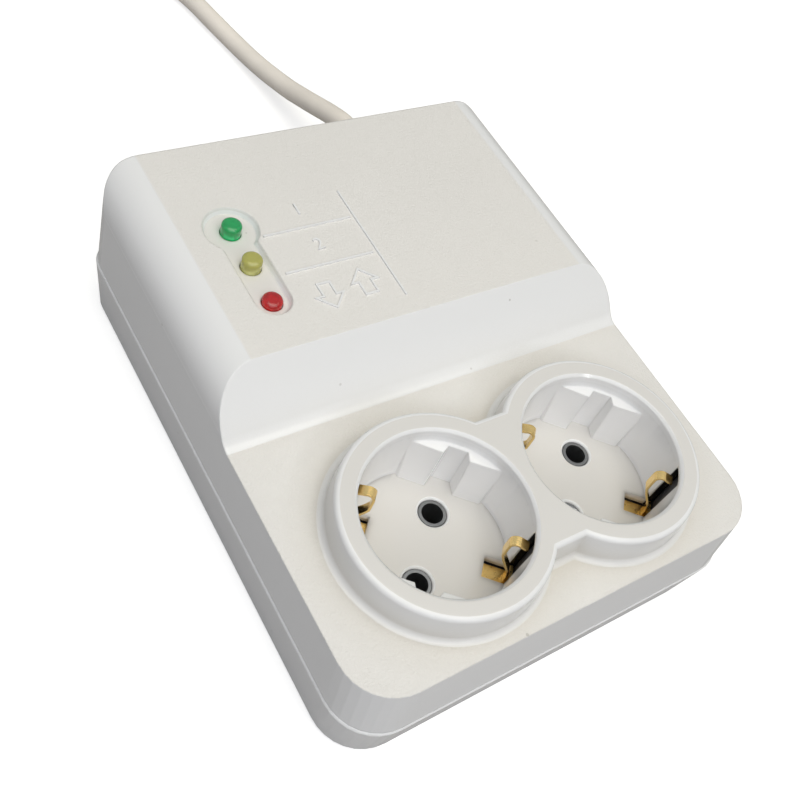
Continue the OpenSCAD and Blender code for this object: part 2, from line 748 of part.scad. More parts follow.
// Outline of a clip tongue seen from the side, as outward distance and height above the floor
clip_hinge = [strap_end - strap_t - clip_t / 2 - slip, plate_z + strap_t + tab_h - floor_z];
clip_bend_r = 1.5;
clip_lean = [[-0.6, 2.2], [1.2, 7], [0.35, 8.8], [0.3, 10.6]];
clip_tip = [2.1, -0.7];
clip_crown = [clip_grip + clip_t / 2 + clip_bend_r, clip_h - clip_t / 2 - clip_bend_r];
clip_bend = arc(clip_crown, clip_bend_r, 180, 75, 6);
clip_line = concat(
    [clip_hinge - [0, tab_h - slip], clip_hinge, clip_hinge + clip_lean[0]],
    [for (i = [1:3]) [clip_grip, 0] + clip_lean[i]],
    clip_bend, [clip_bend[6] + clip_tip]
);

function offset_point(line, i, d) =
    let (t = unit(line[min(i + 1, len(line) - 1)] - line[max(i - 1, 0)])) line[i] + d * [-t[1], t[0]];

// Curled spring tongue that grips the plug side, riveted to the strap end
module earth_clip(side, end) color(brass) in_socket(side)
    rotate([0, 0, end > 0 ? 0 : 180]) translate([-clip_w / 2, 0, floor_z])
        rotate([90, 0, 90]) linear_extrude(height = clip_w) polygon(concat(
            [for (i = [0:len(clip_line) - 1]) offset_point(clip_line, i, clip_t / 2)],
            [for (i = [len(clip_line) - 1:-1:0]) offset_point(clip_line, i, -clip_t / 2)]
        ));

module earth_clip_left_front() earth_clip(-1, -1);
module earth_clip_left_rear() earth_clip(-1, 1);
module earth_clip_right_front() earth_clip(1, -1);
module earth_clip_right_rear() earth_clip(1, 1);

module circuit_board() color(board_green) difference() {
    translate([-board_x - board_w / 2, board_y - board_d / 2, board_z]) cube([board_w, board_d, board_t]);
    at_board_bosses() translate([0, 0, board_z - over]) cylinder(h = board_t + 2 * over, r = board_screw_r + slip);
    for (i = [0:2], leg = [-1, 1])
        translate([-led_x + leg * leg_pitch / 2, led_y + i * led_pitch, board_z - over])
            cylinder(h = board_t + 2 * over, r = leg_t, $fn = 24);
}

module board_screws() color(steel)
    at_board_bosses() translate([0, 0, board_z - head_h]) screw(screw_head - 2 * slip, head_h, board_screw_r, board_t + 2 * wall);

// Relay pieces stand in their own frame: X along the relay, Z up from the board
core_x = -3.5;
core_r = 2.6;
bobbin_r = 5.6;
yoke_t = 1.4;
yoke_w = 10;
yoke_x = core_x - bobbin_r - yoke_t - relay_slack;
pole_z = 12.2;
pole_gap = 0.6;
armature_t = 1.2;
armature_z = pole_z + pole_gap;
armature_end = core_x + bobbin_r;
blade_t = 0.5;
blade_end = 11;
rivet_r = 1.6;
rivet_t = 0.8;
contact_travel = 1.1;

module in_relay() { translate([relay_x, relay_y, board_top]) children(); }

module relay_base() color(dark_plastic) in_relay()
    translate([-relay_l / 2 + relay_wall + slip, -relay_w / 2 + relay_wall + slip, 0])
        cube([relay_l - 2 * (relay_wall + slip), relay_w - 2 * (relay_wall + slip), relay_base_h]);

module relay_yoke() color(steel) in_relay() {
    translate([yoke_x, -yoke_w / 2, relay_base_h]) cube([core_x + bobbin_r - yoke_x, yoke_w, yoke_t]);
    translate([yoke_x, -yoke_w / 2, relay_base_h]) cube([yoke_t, yoke_w, armature_z - relay_base_h - slip]);
    translate([core_x, 0, relay_base_h]) cylinder(h = pole_z - relay_base_h, r = core_r);
}

module relay_coil() color(copper) in_relay() translate([core_x, 0, relay_base_h + yoke_t]) difference() {
    union() {
        for (z = [0, pole_z - relay_base_h - yoke_t - 2 * relay_wall]) translate([0, 0, z]) cylinder(h = relay_wall, r = bobbin_r);
        cylinder(h = pole_z - relay_base_h - yoke_t - relay_wall, r = bobbin_r - relay_wall);
    }
    translate([0, 0, -over]) cylinder(h = pole_z, r = core_r + pilot_gap);
}

module relay_contact() color(copper) in_relay() translate([blade_end - rivet_r, 0, relay_base_h]) {
    translate([-rivet_r, -yoke_w / 4, 0]) cube([2 * rivet_r, yoke_w / 2, armature_z - rivet_t - contact_travel - rivet_t - relay_base_h]);
    translate([0, 0, armature_z - 2 * rivet_t - contact_travel - relay_base_h]) cylinder(h = rivet_t, r = rivet_r);
}

module relay_armature() color(steel) in_relay() {
    translate([yoke_x, -yoke_w / 2 + slip, armature_z]) cube([armature_end - yoke_x, yoke_w - 2 * slip, armature_t]);
    translate([armature_end - 3 * rivet_r, -yoke_w / 4, armature_z + armature_t]) cube([blade_end - armature_end + 3 * rivet_r, yoke_w / 2, blade_t]);
    translate([blade_end - rivet_r, 0, armature_z - rivet_t / 2]) cylinder(h = armature_t + rivet_t / 2 + blade_t, r = rivet_r - slip);
}

module relay_cover() color([0.2, 0.35, 0.6, 0.5]) in_relay() difference() {
    translate([-relay_l / 2, -relay_w / 2, 0]) cube([relay_l, relay_w, relay_h]);
    translate([-relay_l / 2 + relay_wall, -relay_w / 2 + relay_wall, -over])
        cube([relay_l - 2 * relay_wall, relay_w - 2 * relay_wall, relay_h - relay_wall + over]);
}

module dropper_capacitor() color([0.75, 0.65, 0.2])
    translate([dropper_place[0], dropper_place[1], board_top]) cube(dropper_size);

module smoothing_capacitor() color(dark_plastic)
    translate([smoothing_place[0], smoothing_place[1], board_top]) cylinder(h = smoothing_h, r = smoothing_r);

module varistor() color([0.2, 0.4, 0.75])
    translate([varistor_place[0], varistor_place[1], board_top + varistor_lift]) {
        rotate([-90, 0, 0]) cylinder(h = varistor_t, r = varistor_r);
        for (leg = [-1, 1]) translate([leg * varistor_r / 2 - leg_t / 2, varistor_t / 2, -varistor_lift])
            cube([leg_t, leg_t, varistor_lift / 2]);
    }

module control_chip() color(dark_plastic) translate([chip_place[0], chip_place[1], board_top]) {
    translate([-chip_size[0] / 2, 0, chip_lift]) cube(chip_size);
    for (i = [0:6], hand = [-1, 1])
        translate([hand * chip_leg_x - chip_leg[0] / 2, chip_leg_y + chip_pitch * i, 0]) cube(chip_leg);
}

// Part lying on the board between two bent legs
module axial(length, r) {
    translate([0, 0, r]) rotate([0, 90, 0]) cylinder(h = length, r = r);
    for (end = [-1, 1]) translate([end > 0 ? length : -leg_out, -leg_t / 2, 0]) {
        translate([0, 0, r - leg_t / 2]) cube([leg_out, leg_t, leg_t]);
        translate([end > 0 ? leg_out - leg_t : 0, 0, 0]) cube([leg_t, leg_t, r]);
    }
}

module resistors() color([0.45, 0.65, 0.8]) for (i = [0:3])
    translate([resistor_place[0], resistor_place[1] + resistor_pitch * i, board_top]) axial(resistor_l, resistor_r);

module diodes() color(dark_plastic) for (i = [0:3])
    translate([diode_place[0], diode_place[1] + diode_pitch * i, board_top]) axial(diode_l, diode_r);

module terminal_block() color([0.15, 0.45, 0.3]) difference() {
    translate([terminal_x - terminal_w / 2, terminal_y - terminal_d / 2, board_top]) cube([terminal_w, terminal_d, terminal_h]);
    for (i = [0:3]) translate([terminal_x + (i - 1.5) * terminal_w / 4, 0, 0]) {
        translate([0, terminal_y - terminal_d / 2 - over, board_top + terminal_h / 3]) rotate([-90, 0, 0])
            cylinder(h = terminal_d / 2 + over, r = wire_r + slip);
        translate([0, terminal_y + terminal_d / 8, board_top + terminal_h - 3 * over]) cylinder(h = 4 * over, r = terminal_bore);
    }
}

module trimmer_bodies() color([0.15, 0.3, 0.6]) for (y = [trimmer_low_y, trimmer_high_y])
    translate([trimmer_x, y, board_top]) difference() {
        translate([-trimmer_w / 2, -trimmer_w / 2, 0]) cube([trimmer_w, trimmer_w, trimmer_h]);
        translate([0, 0, trimmer_h - rotor_sink]) cylinder(h = rotor_sink + over, r = rotor_r + rotor_gap);
    }

// Slotted trimmer screw that turns in its body
module rotor(y) color([0.9, 0.9, 0.85]) translate([trimmer_x, y, board_top + trimmer_h - rotor_sink + rotor_gap]) difference() {
    cylinder(h = rotor_sink + rotor_gap, r = rotor_r);
    translate([-rotor_r - over, -rotor_r / 7, rotor_sink / 2]) cube([2 * (rotor_r + over), 2 * rotor_r / 7, rotor_sink]);
}

module trimmer_rotor_low() rotor(trimmer_low_y);
module trimmer_rotor_high() rotor(trimmer_high_y);

function led_top(i) = recess_z + led_proud - (i == 0 ? led_drop : 0);
function led_low(i) = led_top(i) - led_body_h;

// Indicator with a softly rounded flat top and its flange below the roof
module led(i) translate([-led_x, led_y + i * led_pitch, led_low(i)]) {
    cylinder(h = led_flange_h, r = led_flange_r);
    rotate_extrude() polygon(concat([[0, 0], [led_r, 0]],
        arc([led_r - led_round, led_body_h - led_round], led_round, 0, 90), [[0, led_body_h]]));
}

module led_green() color([0.05, 0.55, 0.25]) led(2);
module led_yellow() color([0.72, 0.70, 0.30]) led(1);
module led_red() color([0.75, 0.08, 0.08]) led(0);

module led_legs() color(steel) for (i = [0:2], leg = [-1, 1])
    translate([-led_x + leg * leg_pitch / 2 - leg_t / 2, led_y + i * led_pitch - leg_t / 2, board_z - 2 * over])
        cube([leg_t, leg_t, led_low(i) - board_z + 2 * over]);

module led_spacers() color(dark_plastic) for (i = [0:2])
    translate([-led_x, led_y + i * led_pitch, board_top]) difference() {
        cylinder(h = led_low(i) - board_top, r = led_flange_r);
        translate([0, 0, -over]) cylinder(h = led_low(i), r = led_flange_r - led_flange_wall);
    }

// Revolved bush with a groove for the case wall and a ribbed, tapered relief
module cord_bush() color(shell_white) translate([exit_x, case_l / 2, part_z]) rotate([-90, 0, 0]) {
    rib = relief_l / 11;
    relief_r = bush_flange_r - 1;
    taper = (relief_r - cord_r - 1) / relief_l;
    rib_depth = relief_r / 9;
    difference() {
        union() {
            translate([0, 0, -bush_inner]) cylinder(h = bush_flange_t, r = bush_flange_r);
            translate([0, 0, -bush_inner]) cylinder(h = bush_inner + 2 * seat, r = bush_neck_r);
            translate([0, 0, seat]) cylinder(h = bush_flange_t, r = bush_flange_r);
            translate([0, 0, seat]) cylinder(h = relief_l, r1 = relief_r, r2 = cord_r + 1);
        }
        for (i = [0:3]) translate([0, 0, bush_flange_t + rib * (2 * i + 1)]) difference() {
            cylinder(h = rib, r = bush_flange_r);
            translate([0, 0, -over]) cylinder(h = rib + 2 * over, r = relief_r - taper * (bush_flange_t + rib * (2 * i + 2)) - rib_depth);
        }
        translate([0, 0, -3 * wall]) cylinder(h = relief_l + 6 * wall, r = cord_r + pilot_gap);
    }
}

module cord_clamp() color(dark_plastic) difference() {
    translate([exit_x - clamp_half, clamp_y - clamp_d / 2, part_z + seat])
        cube([2 * clamp_half, clamp_d, cord_r + wall - seat]);
    translate([exit_x, clamp_y - clamp_d, part_z]) rotate([-90, 0, 0]) cylinder(h = 2 * clamp_d, r = cord_r + pilot_gap);
    for (side = [-1, 1]) translate([exit_x + side * clamp_screw_x, clamp_y, part_z - over])
        cylinder(h = cord_r + 2 * wall, r = plate_screw_r + slip);
}

module clamp_screws() color(steel) for (side = [-1, 1])
    translate([exit_x + side * clamp_screw_x, clamp_y, part_z + cord_r + wall + head_h]) rotate([180, 0, 0])
        screw(screw_head - 2 * slip, head_h, plate_screw_r, cord_r + 2.5 * wall);

module cord_tail() color(cord_cream) translate([exit_x, tail_end_y, part_z]) rotate([-90, 0, 0])
    cylinder(h = relief_end_y - tail_end_y, r = cord_r);

// Insulated wire inside the case
module wire(points, first = undef) { tube(smooth(points, 3), wire_r, 6, first = first); }

tail_front = tail_end_y - 3 * seat;
entry_y = terminal_y - terminal_d / 2 + over;
entry_z = board_top + terminal_h / 3;
function entry_x(i) = terminal_x + (i - 1.5) * terminal_w / 4;
bar_x = pin_pitch / 2 * cos(socket_turn);
bar_y = pin_pitch / 2 * sin(socket_turn);
lug_z = bar_top + wire_r + seat;

// Steps of each wire from the place where it starts, then from the place where it ends
live_from = [[-1.9, 0, 0.8], [-3, -8, 1.6], [-9, -26, 4], [-16, -40, 8]];
live_to = [[6, -9, -1], [0.6, -6, 0], [0, 0, 0]];
neutral_from = [[1.9, 0, 0.8], [4, -9, -1], [8, -30, -6], [6, -56, -8]];
neutral_to = [[21.7, 12, 2.4], [16, 3, 0.4], [6, 0, 0]];
earth_from = [[0, 0, -2.1], [-1, -10, -4.5], [-8, -34, -4], [-20, -50, 0]];
earth_to = [[8, 8, 2], [1.5, 4.5, 0.6], [0, 0, 0]];
live_link_from = [[0, 0, 0], [0, -6, -0.4], [-1.5, -15, -7.6], [-9.5, -25, -15.6]];
live_link_to = [[-5.4, 8.45, 1.3], [-6.9, 2.45, 0.2], [-3.9, 0, 0], [0, 0, 0]];
neutral_link_from = [[0, 0, 0], [0, -6, -0.2], [-2.5, -15, -3.6], [-3.5, -25, -12.6], [-2.5, -33, -16.6]];
neutral_link_to = [[0, 10.5, 1.9], [0, 4.5, 0.3], [0, 0, 0]];

function route(start, steps, finish, last_steps) =
    concat([for (step = steps) start + step], [for (step = last_steps) finish + step]);
core_place = [exit_x, tail_front, part_z];

module live_wire() color([0.45, 0.25, 0.12])
    wire(route(core_place, live_from, [entry_x(3), entry_y, entry_z], live_to), first = [0, -1, 0]);

module neutral_wire() color([0.15, 0.3, 0.7])
    wire(route(core_place, neutral_from, [socket_x - bar_x, -socket_y - bar_y, lug_z], neutral_to), first = [0, -1, 0]);

module earth_wire() color([0.45, 0.65, 0.2])
    wire(route(core_place, earth_from,
        [0, plate_half_y - socket_y + link_w, plate_z + strap_t + wire_r + seat], earth_to), first = [0, -1, 0]);

module live_link() color([0.45, 0.25, 0.12])
    wire(route([entry_x(2), entry_y, entry_z], live_link_from,
        [bar_x - socket_x - wire_r * 4, -socket_y + bar_y, lug_z], live_link_to));

module neutral_link() color([0.15, 0.3, 0.7])
    wire(route([entry_x(1), entry_y, entry_z], neutral_link_from,
        [-wire_r * 8, -socket_y - bar_y, lug_z], neutral_link_to));

module supply_cord() color(cord_cream)
    tube(smooth(cord_route, 2), cord_r, cord_sides, first = [0, 1, 0], last = coil_heading(0));

// Centreline of the coil: in along the lower layer, up in half a turn, out along the upper layer
function coil_radius(t) =
    t < coil_turns ? coil_r - coil_step * t
    : t < coil_turns + 0.5 ? coil_inner - coil_dip_share * coil_step * sin(360 * (t - coil_turns))
    : coil_inner + coil_step * (t - coil_turns - 0.5);
function coil_height(t) =
    let (s = min(max((t - coil_turns) / 0.5, 0), 1)) coil_low_z + coil_step * s * s * (3 - 2 * s);
function coil_point(t) =
    let (a = coil_start - 360 * t, r = coil_radius(t)) [coil_x + r * cos(a), coil_y + r * sin(a), coil_height(t)];
function coil_heading(t) = unit([sin(coil_start - 360 * t), -cos(coil_start - 360 * t), 0]);
coil_total = 2 * coil_turns + 0.5;

// Least distance between stretches of the coil that are half a turn or more apart, less the cord
function coil_gap(n) =
    let (p = [for (i = [0:coil_total * n]) coil_point(i / n)])
    min([for (i = [0:len(p) - 1], j = [i + n / 2:len(p) - 1]) norm(p[i] - p[j])]) - cord_d;

module cord_coil() color(cord_cream) {
    echo(least_gap_of_coil = coil_gap(48));
    inner = [for (i = [1:coil_total * coil_rings - 1]) coil_point(i / coil_rings)];
    lead_in = coil_point(0) + cord_d * coil_heading(0);
    lead_out = coil_point(coil_total) - cord_d * coil_heading(coil_total);
    tube(concat([coil_point(0), lead_in], inner, [lead_out, coil_point(coil_total)]),
        cord_r, coil_sides, first = coil_heading(0), last = coil_heading(coil_total));
}

module plug_cord() color(cord_cream)
    tube(smooth(plug_route, 2), cord_r, cord_sides, first = coil_heading(coil_total), last = unit([cos(plug_turn), sin(plug_turn), 0]));

// Band round the whole bundle of turns at the right of the coil
module cord_tie() color(dark_plastic) {
    low_r = coil_inner - coil_step * coil_dip_share - cord_r - seat;
    high_r = max(coil_radius(coil_start / 360), coil_radius(coil_total - 1 + coil_start / 360)) + cord_r + seat;
    height = coil_low_z + coil_step + cord_r + seat;
    translate([coil_x + low_r - tie_t, coil_y - tie_w / 2, 0]) difference() {
        cube([high_r - low_r + 2 * tie_t, tie_w, height + tie_t]);
        translate([tie_t, -over, tie_t]) cube([high_r - low_r, tie_w + 2 * over, height - tie_t]);
    }
}

module in_plug() { translate([plug_x, plug_y, 0]) rotate([0, 0, plug_turn]) children(); }

// Flat-backed plug lying with its pins up: round back, cord neck, and the front that enters a well
module plug_body() color(shell_white) in_plug() {
    face_z = plug_back + plug_front;
    hull() {
        cylinder(h = skin, r = plug_back_r - base_round, $fn = hull_fn);
        translate([0, 0, base_round]) cylinder(h = plug_back - 2 * base_round, r = plug_back_r, $fn = hull_fn);
        translate([0, 0, plug_back - skin]) cylinder(h = skin, r = plug_back_r - base_round, $fn = hull_fn);
        translate([plug_neck_x, 0, plug_axis_z]) rotate([0, 90, 0]) cylinder(h = skin, r = plug_relief_r + 0.8, $fn = hull_fn);
    }
    translate([plug_relief_x, 0, plug_axis_z]) rotate([0, 90, 0])
        cylinder(h = plug_neck_x - plug_relief_x + over, r1 = cord_r + 0.9, r2 = plug_relief_r + 0.7);
    difference() {
        translate([0, 0, plug_back - over]) cylinder(h = plug_front + over, r = plug_r);
        for (end = [-1, 1]) {
            for (hand = [-1, 1])
                translate([end > 0 ? plug_guide_face : -plug_r - over, hand > 0 ? guide_groove_in - seat : -plug_r, plug_back])
                    cube([plug_r - plug_guide_face + over, plug_r - guide_groove_in + seat, plug_front + over]);
            translate([end * pin_pitch / 2, 0, plug_back + wall]) cylinder(h = plug_front, r = pin_shank_r + pilot_gap);
            translate([-strap_w / 2 - slip, end > 0 ? plug_earth_face - plug_contact_t - seat : -plug_r - over, plug_back])
                cube([strap_w + 2 * slip, plug_r - plug_earth_face + plug_contact_t + seat + over, plug_front + over]);
        }
    }
}

module plug_pins() color(steel) in_plug() for (end = [-1, 1])
    translate([end * pin_pitch / 2, 0, plug_back + plug_front]) {
        translate([0, 0, wall - plug_front]) cylinder(h = plug_front - wall, r = pin_shank_r);
        cylinder(h = pin_l - pin_r / 2, r = pin_r);
        translate([0, 0, pin_l - pin_r / 2]) cylinder(h = pin_r / 2, r1 = pin_r, r2 = pin_r / 2);
    }

module plug_earth_contacts() color(brass) in_plug() for (end = [-1, 1])
    translate([-strap_w / 2, end > 0 ? plug_earth_face - plug_contact_t : -plug_earth_face, plug_back + seat])
        cube([strap_w, plug_contact_t, plug_front - 2 * seat]);

top_shell();
bottom_shell();
case_screws();
contact_retainer();
clip_backs();
retainer_screws();
live_sleeve_left();
neutral_sleeve_left();
live_sleeve_right();
neutral_sleeve_right();
live_bar();
neutral_bar();
earth_strap();
earth_clip_left_front();
earth_clip_left_rear();
earth_clip_right_front();
earth_clip_right_rear();
circuit_board();
board_screws();
relay_base();
relay_yoke();
relay_coil();
relay_contact();
relay_armature();
relay_cover();
dropper_capacitor();
smoothing_capacitor();
varistor();
control_chip();
resistors();
diodes();
terminal_block();
trimmer_bodies();
trimmer_rotor_low();
trimmer_rotor_high();
led_green();
led_yellow();
led_red();
led_legs();
led_spacers();
cord_bush();
cord_clamp();
clamp_screws();
cord_tail();
live_wire();
neutral_wire();
earth_wire();
live_link();
neutral_link();
supply_cord();
cord_coil();
plug_cord();
cord_tie();
plug_body();
plug_pins();
plug_earth_contacts();
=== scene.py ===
"""Voltage protector extension lead: case with two earthed wells, coiled cord and plug."""

import math

import bmesh
import bpy
from bpy.props import FloatProperty, FloatVectorProperty, PointerProperty
from mathutils import Matrix, Vector


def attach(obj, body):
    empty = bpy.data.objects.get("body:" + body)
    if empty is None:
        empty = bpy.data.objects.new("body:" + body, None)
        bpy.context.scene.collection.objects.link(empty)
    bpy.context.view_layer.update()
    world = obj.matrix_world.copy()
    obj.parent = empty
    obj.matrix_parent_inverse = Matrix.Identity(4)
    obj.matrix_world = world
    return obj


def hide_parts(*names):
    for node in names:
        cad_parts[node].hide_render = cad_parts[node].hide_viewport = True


bl_info = {
    "name": "Voltage Protector Lead",
    "version": (1, 0, 0),
    "blender": (4, 5, 0),
    "location": "View3D > Sidebar > Lead",
    "description": "Dresses the packed voltage protector lead with finishes, cord, marks and stage",
    "category": "Object",
}

MM = 0.001
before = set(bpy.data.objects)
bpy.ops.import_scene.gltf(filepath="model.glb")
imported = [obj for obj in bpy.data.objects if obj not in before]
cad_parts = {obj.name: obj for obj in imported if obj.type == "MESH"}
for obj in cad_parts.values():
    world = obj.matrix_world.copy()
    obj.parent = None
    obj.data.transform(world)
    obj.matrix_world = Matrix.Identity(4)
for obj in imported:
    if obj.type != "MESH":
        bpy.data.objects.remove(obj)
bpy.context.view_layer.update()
CASE = "case"

# Camera of the photograph: place, then its right, up and back directions
CAMERA_PLACE = (-0.1309, -0.09997, 0.22225)
CAMERA_RIGHT = (0.8262, -0.4929, 0.2729)
CAMERA_UP = (0.2813, 0.7806, 0.5581)
CAMERA_BACK = (-0.4881, -0.3844, 0.7836)
CAMERA_LENS = 45.19

# Route of the cord in millimetres, from the strain relief to the coil and from the coil to the plug
CORD_ROUTE = (
    (35, 95.1, 17), (34.55, 100, 16.6), (33.4, 107, 14.9), (32.1, 115, 12.3),
    (31.2, 121.5, 10.2), (30.3, 128.4, 8.1), (28.4, 142.7, 5), (26.4, 156.3, 3.5),
    (23.6, 170.6, 3.3), (21.2, 182.3, 3.3), (18.1, 191.5, 3.35), (13.6, 201, 3.5),
    (8.1, 209.6, 3.75), (3.4, 216.17, 3.9),
)
PLUG_ROUTE = (
    (3.4, 216.17, 10.94), (-1.2, 222.7, 10.8), (-5.8, 229.3, 10.1),
    (-10.4, 235.8, 8.9), (-14.4, 241.6, 7.6), (-18.4, 247.3, 6.8),
)
COIL_MIDDLE = (41.41, 242.78)
COIL_START = 215
COIL_TURNS = 2.75
COIL_RADIUS = 46.4
COIL_STEP = 7.04
COIL_LOW = 3.9
COIL_DIP = 0.15

# Levels of the case and places of the wells, in millimetres and degrees
TOP_Z = 47
RIM_Z = 42
DECK_TEXTURE_Z = 31
NO_TEXTURE_Z = 100
FLOOR_Z = 24
SOCKET_X = 22.8
SOCKET_Y = 40.4
SOCKET_TURN = 47
SLOT_INNER = 20.3
SLOT_OUTER = 24.1
SLOT_TOP_Z = 39.5
WELL_REACH = 20.8
RIB_SIDE = 11.4
FOOT_HIGH = 3.4

# Raised marks beside the indicators, in millimetres; an arrow has its middle and its direction
RULE_ROWS = (38.8, 26.7)
RULE_ENDS = (-29.6, -5.8)
LONG_RULE_X = -4.2
LONG_RULE_ENDS = (47.5, 12.5)
ARROWS = (((-22.6, 17.9), -1), ((-12.2, 18.9), 1))
ARROW_SHAPE = (
    (0, 4), (-3.6, 0.2), (-1.7, 0.2), (-1.7, -3.6), (1.7, -3.6), (1.7, 0.2), (3.6, 0.2),
)
FIGURES = (("1", 44.6), ("2", 32.8))
FIGURE_X = -17.6
FIGURE_SIZE = 5.2
MARK_SUNK = 0.1

# Strap round the coil, in millimetres
STRAP_INNER = 22.7
STRAP_OUTER = 46.9
STRAP_LOW = 0.7
STRAP_OVER = 3.3
STRAP_THICK = 0.6
STRAP_HALF = 3.4
STRAP_CHAMFER = 0.25
STRAP_SQUARE = 4.5
STRAP_STEPS = 64
BUCKLE_SHIFT = 4
BUCKLE_HALF = (5.5, 4.4)
BUCKLE_LEVELS = (0.05, 1.9)
BUCKLE_ROUND = 0.6

# Pale table: how far out it turns from its shade to pure white, in metres
TABLE_HALF = 2.5
TABLE_NEAR = 0.45
TABLE_FAR = 1.2
TABLE_GLOW = 0.64
TABLE_PAINT = (0.62, 0.62, 0.62, 1)
TABLE_BOUNCE = (0.48, 0.47, 0.465, 1)

# Soft light of the room, and how much of it glossy faces show
ROOM_COLOUR = (0.9, 0.94, 1.0, 1)
ROOM_LIGHT = 0.15
ROOM_GLOSS = 0.6

# Lamps: name, place and aim in metres, width and height in metres, power in watts, colour
LAMPS = (
    ("sky_panel", (0.1, -0.1, 1.2), (0, 0, 0), 1.0, 1.0, 8.4, (1.0, 0.97, 0.86)),
    ("window", (-0.321, -0.557, 0.766), (0, 0, 0), 0.9, 0.9, 3.4, (0.95, 0.96, 1.0)),
    ("left_fill", (-0.75, 0.05, 0.66), (0, 0, 0), 0.7, 0.7, 0.45, (0.93, 0.95, 1.0)),
    ("pane", (0.1, -0.8, 0.6), (0, -0.04, 0.03), 0.08, 0.16, 0.6, (1.0, 1.0, 1.0)),
)

# Fixed tints of the shells: painted sheen on a well wall, painted shade behind a slot, a speck,
# painted shade in a closed corner
WELL_WALL_SHEEN = (0.95, 0.95, 0.955)
SLOT_SHADE_BLACK = (0.012, 0.011, 0.01)
SPECK_BROWN = (0.28, 0.26, 0.23)
CORNER_SHADE_TINT = (0.72, 0.69, 0.63)
CORNER_SHADE_REACH = 0.011
FOOT_RADIUS = 0.003


# Sizes and colours that a user may change
class LeadShellSettings(bpy.types.PropertyGroup):
    colour: FloatVectorProperty(
        name="Shell colour", description="Cream white of the textured faces",
        subtype="COLOR", size=3, min=0, max=1, default=(0.813, 0.797, 0.772))
    # Polished colour: the cream lifted to a brighter bluish white, partly the plastic's own colour
    # and partly a painted sheen.
    polished_sheen_colour: FloatVectorProperty(
        name="Polished colour", description="Colour of the polished ramp, wells and walls",
        subtype="COLOR", size=3, min=0, max=1, default=(0.865, 0.87, 0.88))
    textured_roughness: FloatProperty(
        name="Texture roughness", description="Roughness of the textured flats",
        subtype="FACTOR", min=0, max=1, default=0.55)
    gloss_roughness: FloatProperty(
        name="Polish roughness", description="Roughness of the polished faces",
        subtype="FACTOR", min=0, max=1, default=0.14)
    edge_radius: FloatProperty(
        name="Edge radius", description="Rounding seen on the moulded edges",
        subtype="DISTANCE", unit="LENGTH", min=0, max=0.003, default=0.0006)


class LeadCordSettings(bpy.types.PropertyGroup):
    diameter: FloatProperty(
        name="Cord diameter", description="Outside diameter of the cord",
        subtype="DISTANCE", unit="LENGTH", min=0.004, max=0.012, default=0.0064)
    colour: FloatVectorProperty(
        name="Cord colour", description="Colour of the cord sheath",
        subtype="COLOR", size=3, min=0, max=1, default=(1.0, 0.94, 0.86))


class LeadMarkSettings(bpy.types.PropertyGroup):
    height: FloatProperty(
        name="Mark height", description="How far the moulded marks stand proud",
        subtype="DISTANCE", unit="LENGTH", min=0.0001, max=0.001, default=0.0004)
    line: FloatProperty(
        name="Mark line", description="Width of a moulded line",
        subtype="DISTANCE", unit="LENGTH", min=0.0002, max=0.002, default=0.0005)


class LeadLensSettings(bpy.types.PropertyGroup):
    green: FloatVectorProperty(
        name="Green lens", description="Colour of the rear indicator",
        subtype="COLOR", size=3, min=0, max=1, default=(0.01, 0.50, 0.14))
    yellow: FloatVectorProperty(
        name="Yellow lens", description="Colour of the middle indicator",
        subtype="COLOR", size=3, min=0, max=1, default=(0.62, 0.60, 0.15))
    red: FloatVectorProperty(
        name="Red lens", description="Colour of the front indicator",
        subtype="COLOR", size=3, min=0, max=1, default=(0.58, 0.004, 0.004))


# Small tools for nodes and meshes
def new_material(name):
    material = bpy.data.materials.new(name)
    material.use_nodes = True
    tree = material.node_tree
    return material, tree, tree.nodes["Principled BSDF"]


def add(tree, kind, **values):
    node = tree.nodes.new(kind)
    for key, value in values.items():
        setattr(node, key, value)
    return node


def put(node, **sockets):
    for key, value in sockets.items():
        node.inputs[key.replace("_", " ")].default_value = value
    return node


def math_node(tree, operation, first, second=None):
    node = add(tree, "ShaderNodeMath", operation=operation, use_clamp=True)
    for index, value in enumerate((first, second)):
        if value is None:
            continue
        if isinstance(value, (int, float)):
            node.inputs[index].default_value = value
        else:
            tree.links.new(value, node.inputs[index])
    return node.outputs[0]


def both(tree, first, second):
    return math_node(tree, "MULTIPLY", first, second)


def either(tree, first, second):
    return math_node(tree, "MAXIMUM", first, second)


def size_of(tree, value):
    node = add(tree, "ShaderNodeMath", operation="ABSOLUTE")
    tree.links.new(value, node.inputs[0])
    return node.outputs[0]


def span(tree, value, low, high, to_low=0.0, to_high=1.0):
    node = add(tree, "ShaderNodeMapRange", interpolation_type="SMOOTHSTEP")
    tree.links.new(value, node.inputs["Value"])
    put(node, From_Min=low, From_Max=high, To_Min=to_low, To_Max=to_high)
    return node.outputs["Result"]


def rises(tree, length, low, high):
    """Smooth step from 0 to 1 between two levels in millimetres."""
    return span(tree, length, low * MM, high * MM)


def falls(tree, length, low, high):
    """Smooth step from 1 to 0 between two levels in millimetres."""
    return span(tree, length, low * MM, high * MM, 1.0, 0.0)


def vector_node(tree, operation, first, second=None):
    node = add(tree, "ShaderNodeVectorMath", operation=operation)
    tree.links.new(first, node.inputs[0])
    if second is not None:
        node.inputs[1].default_value = second
    return node.outputs["Value" if operation in ("LENGTH", "DOT_PRODUCT") else "Vector"]


def upright_part(tree, vector):
    node = add(tree, "ShaderNodeSeparateXYZ")
    tree.links.new(vector, node.inputs[0])
    return node.outputs["Z"]


def own_place(tree):
    return add(tree, "ShaderNodeTexCoord").outputs["Object"]


def toned(colour, share):
    return tuple(part * share for part in colour)


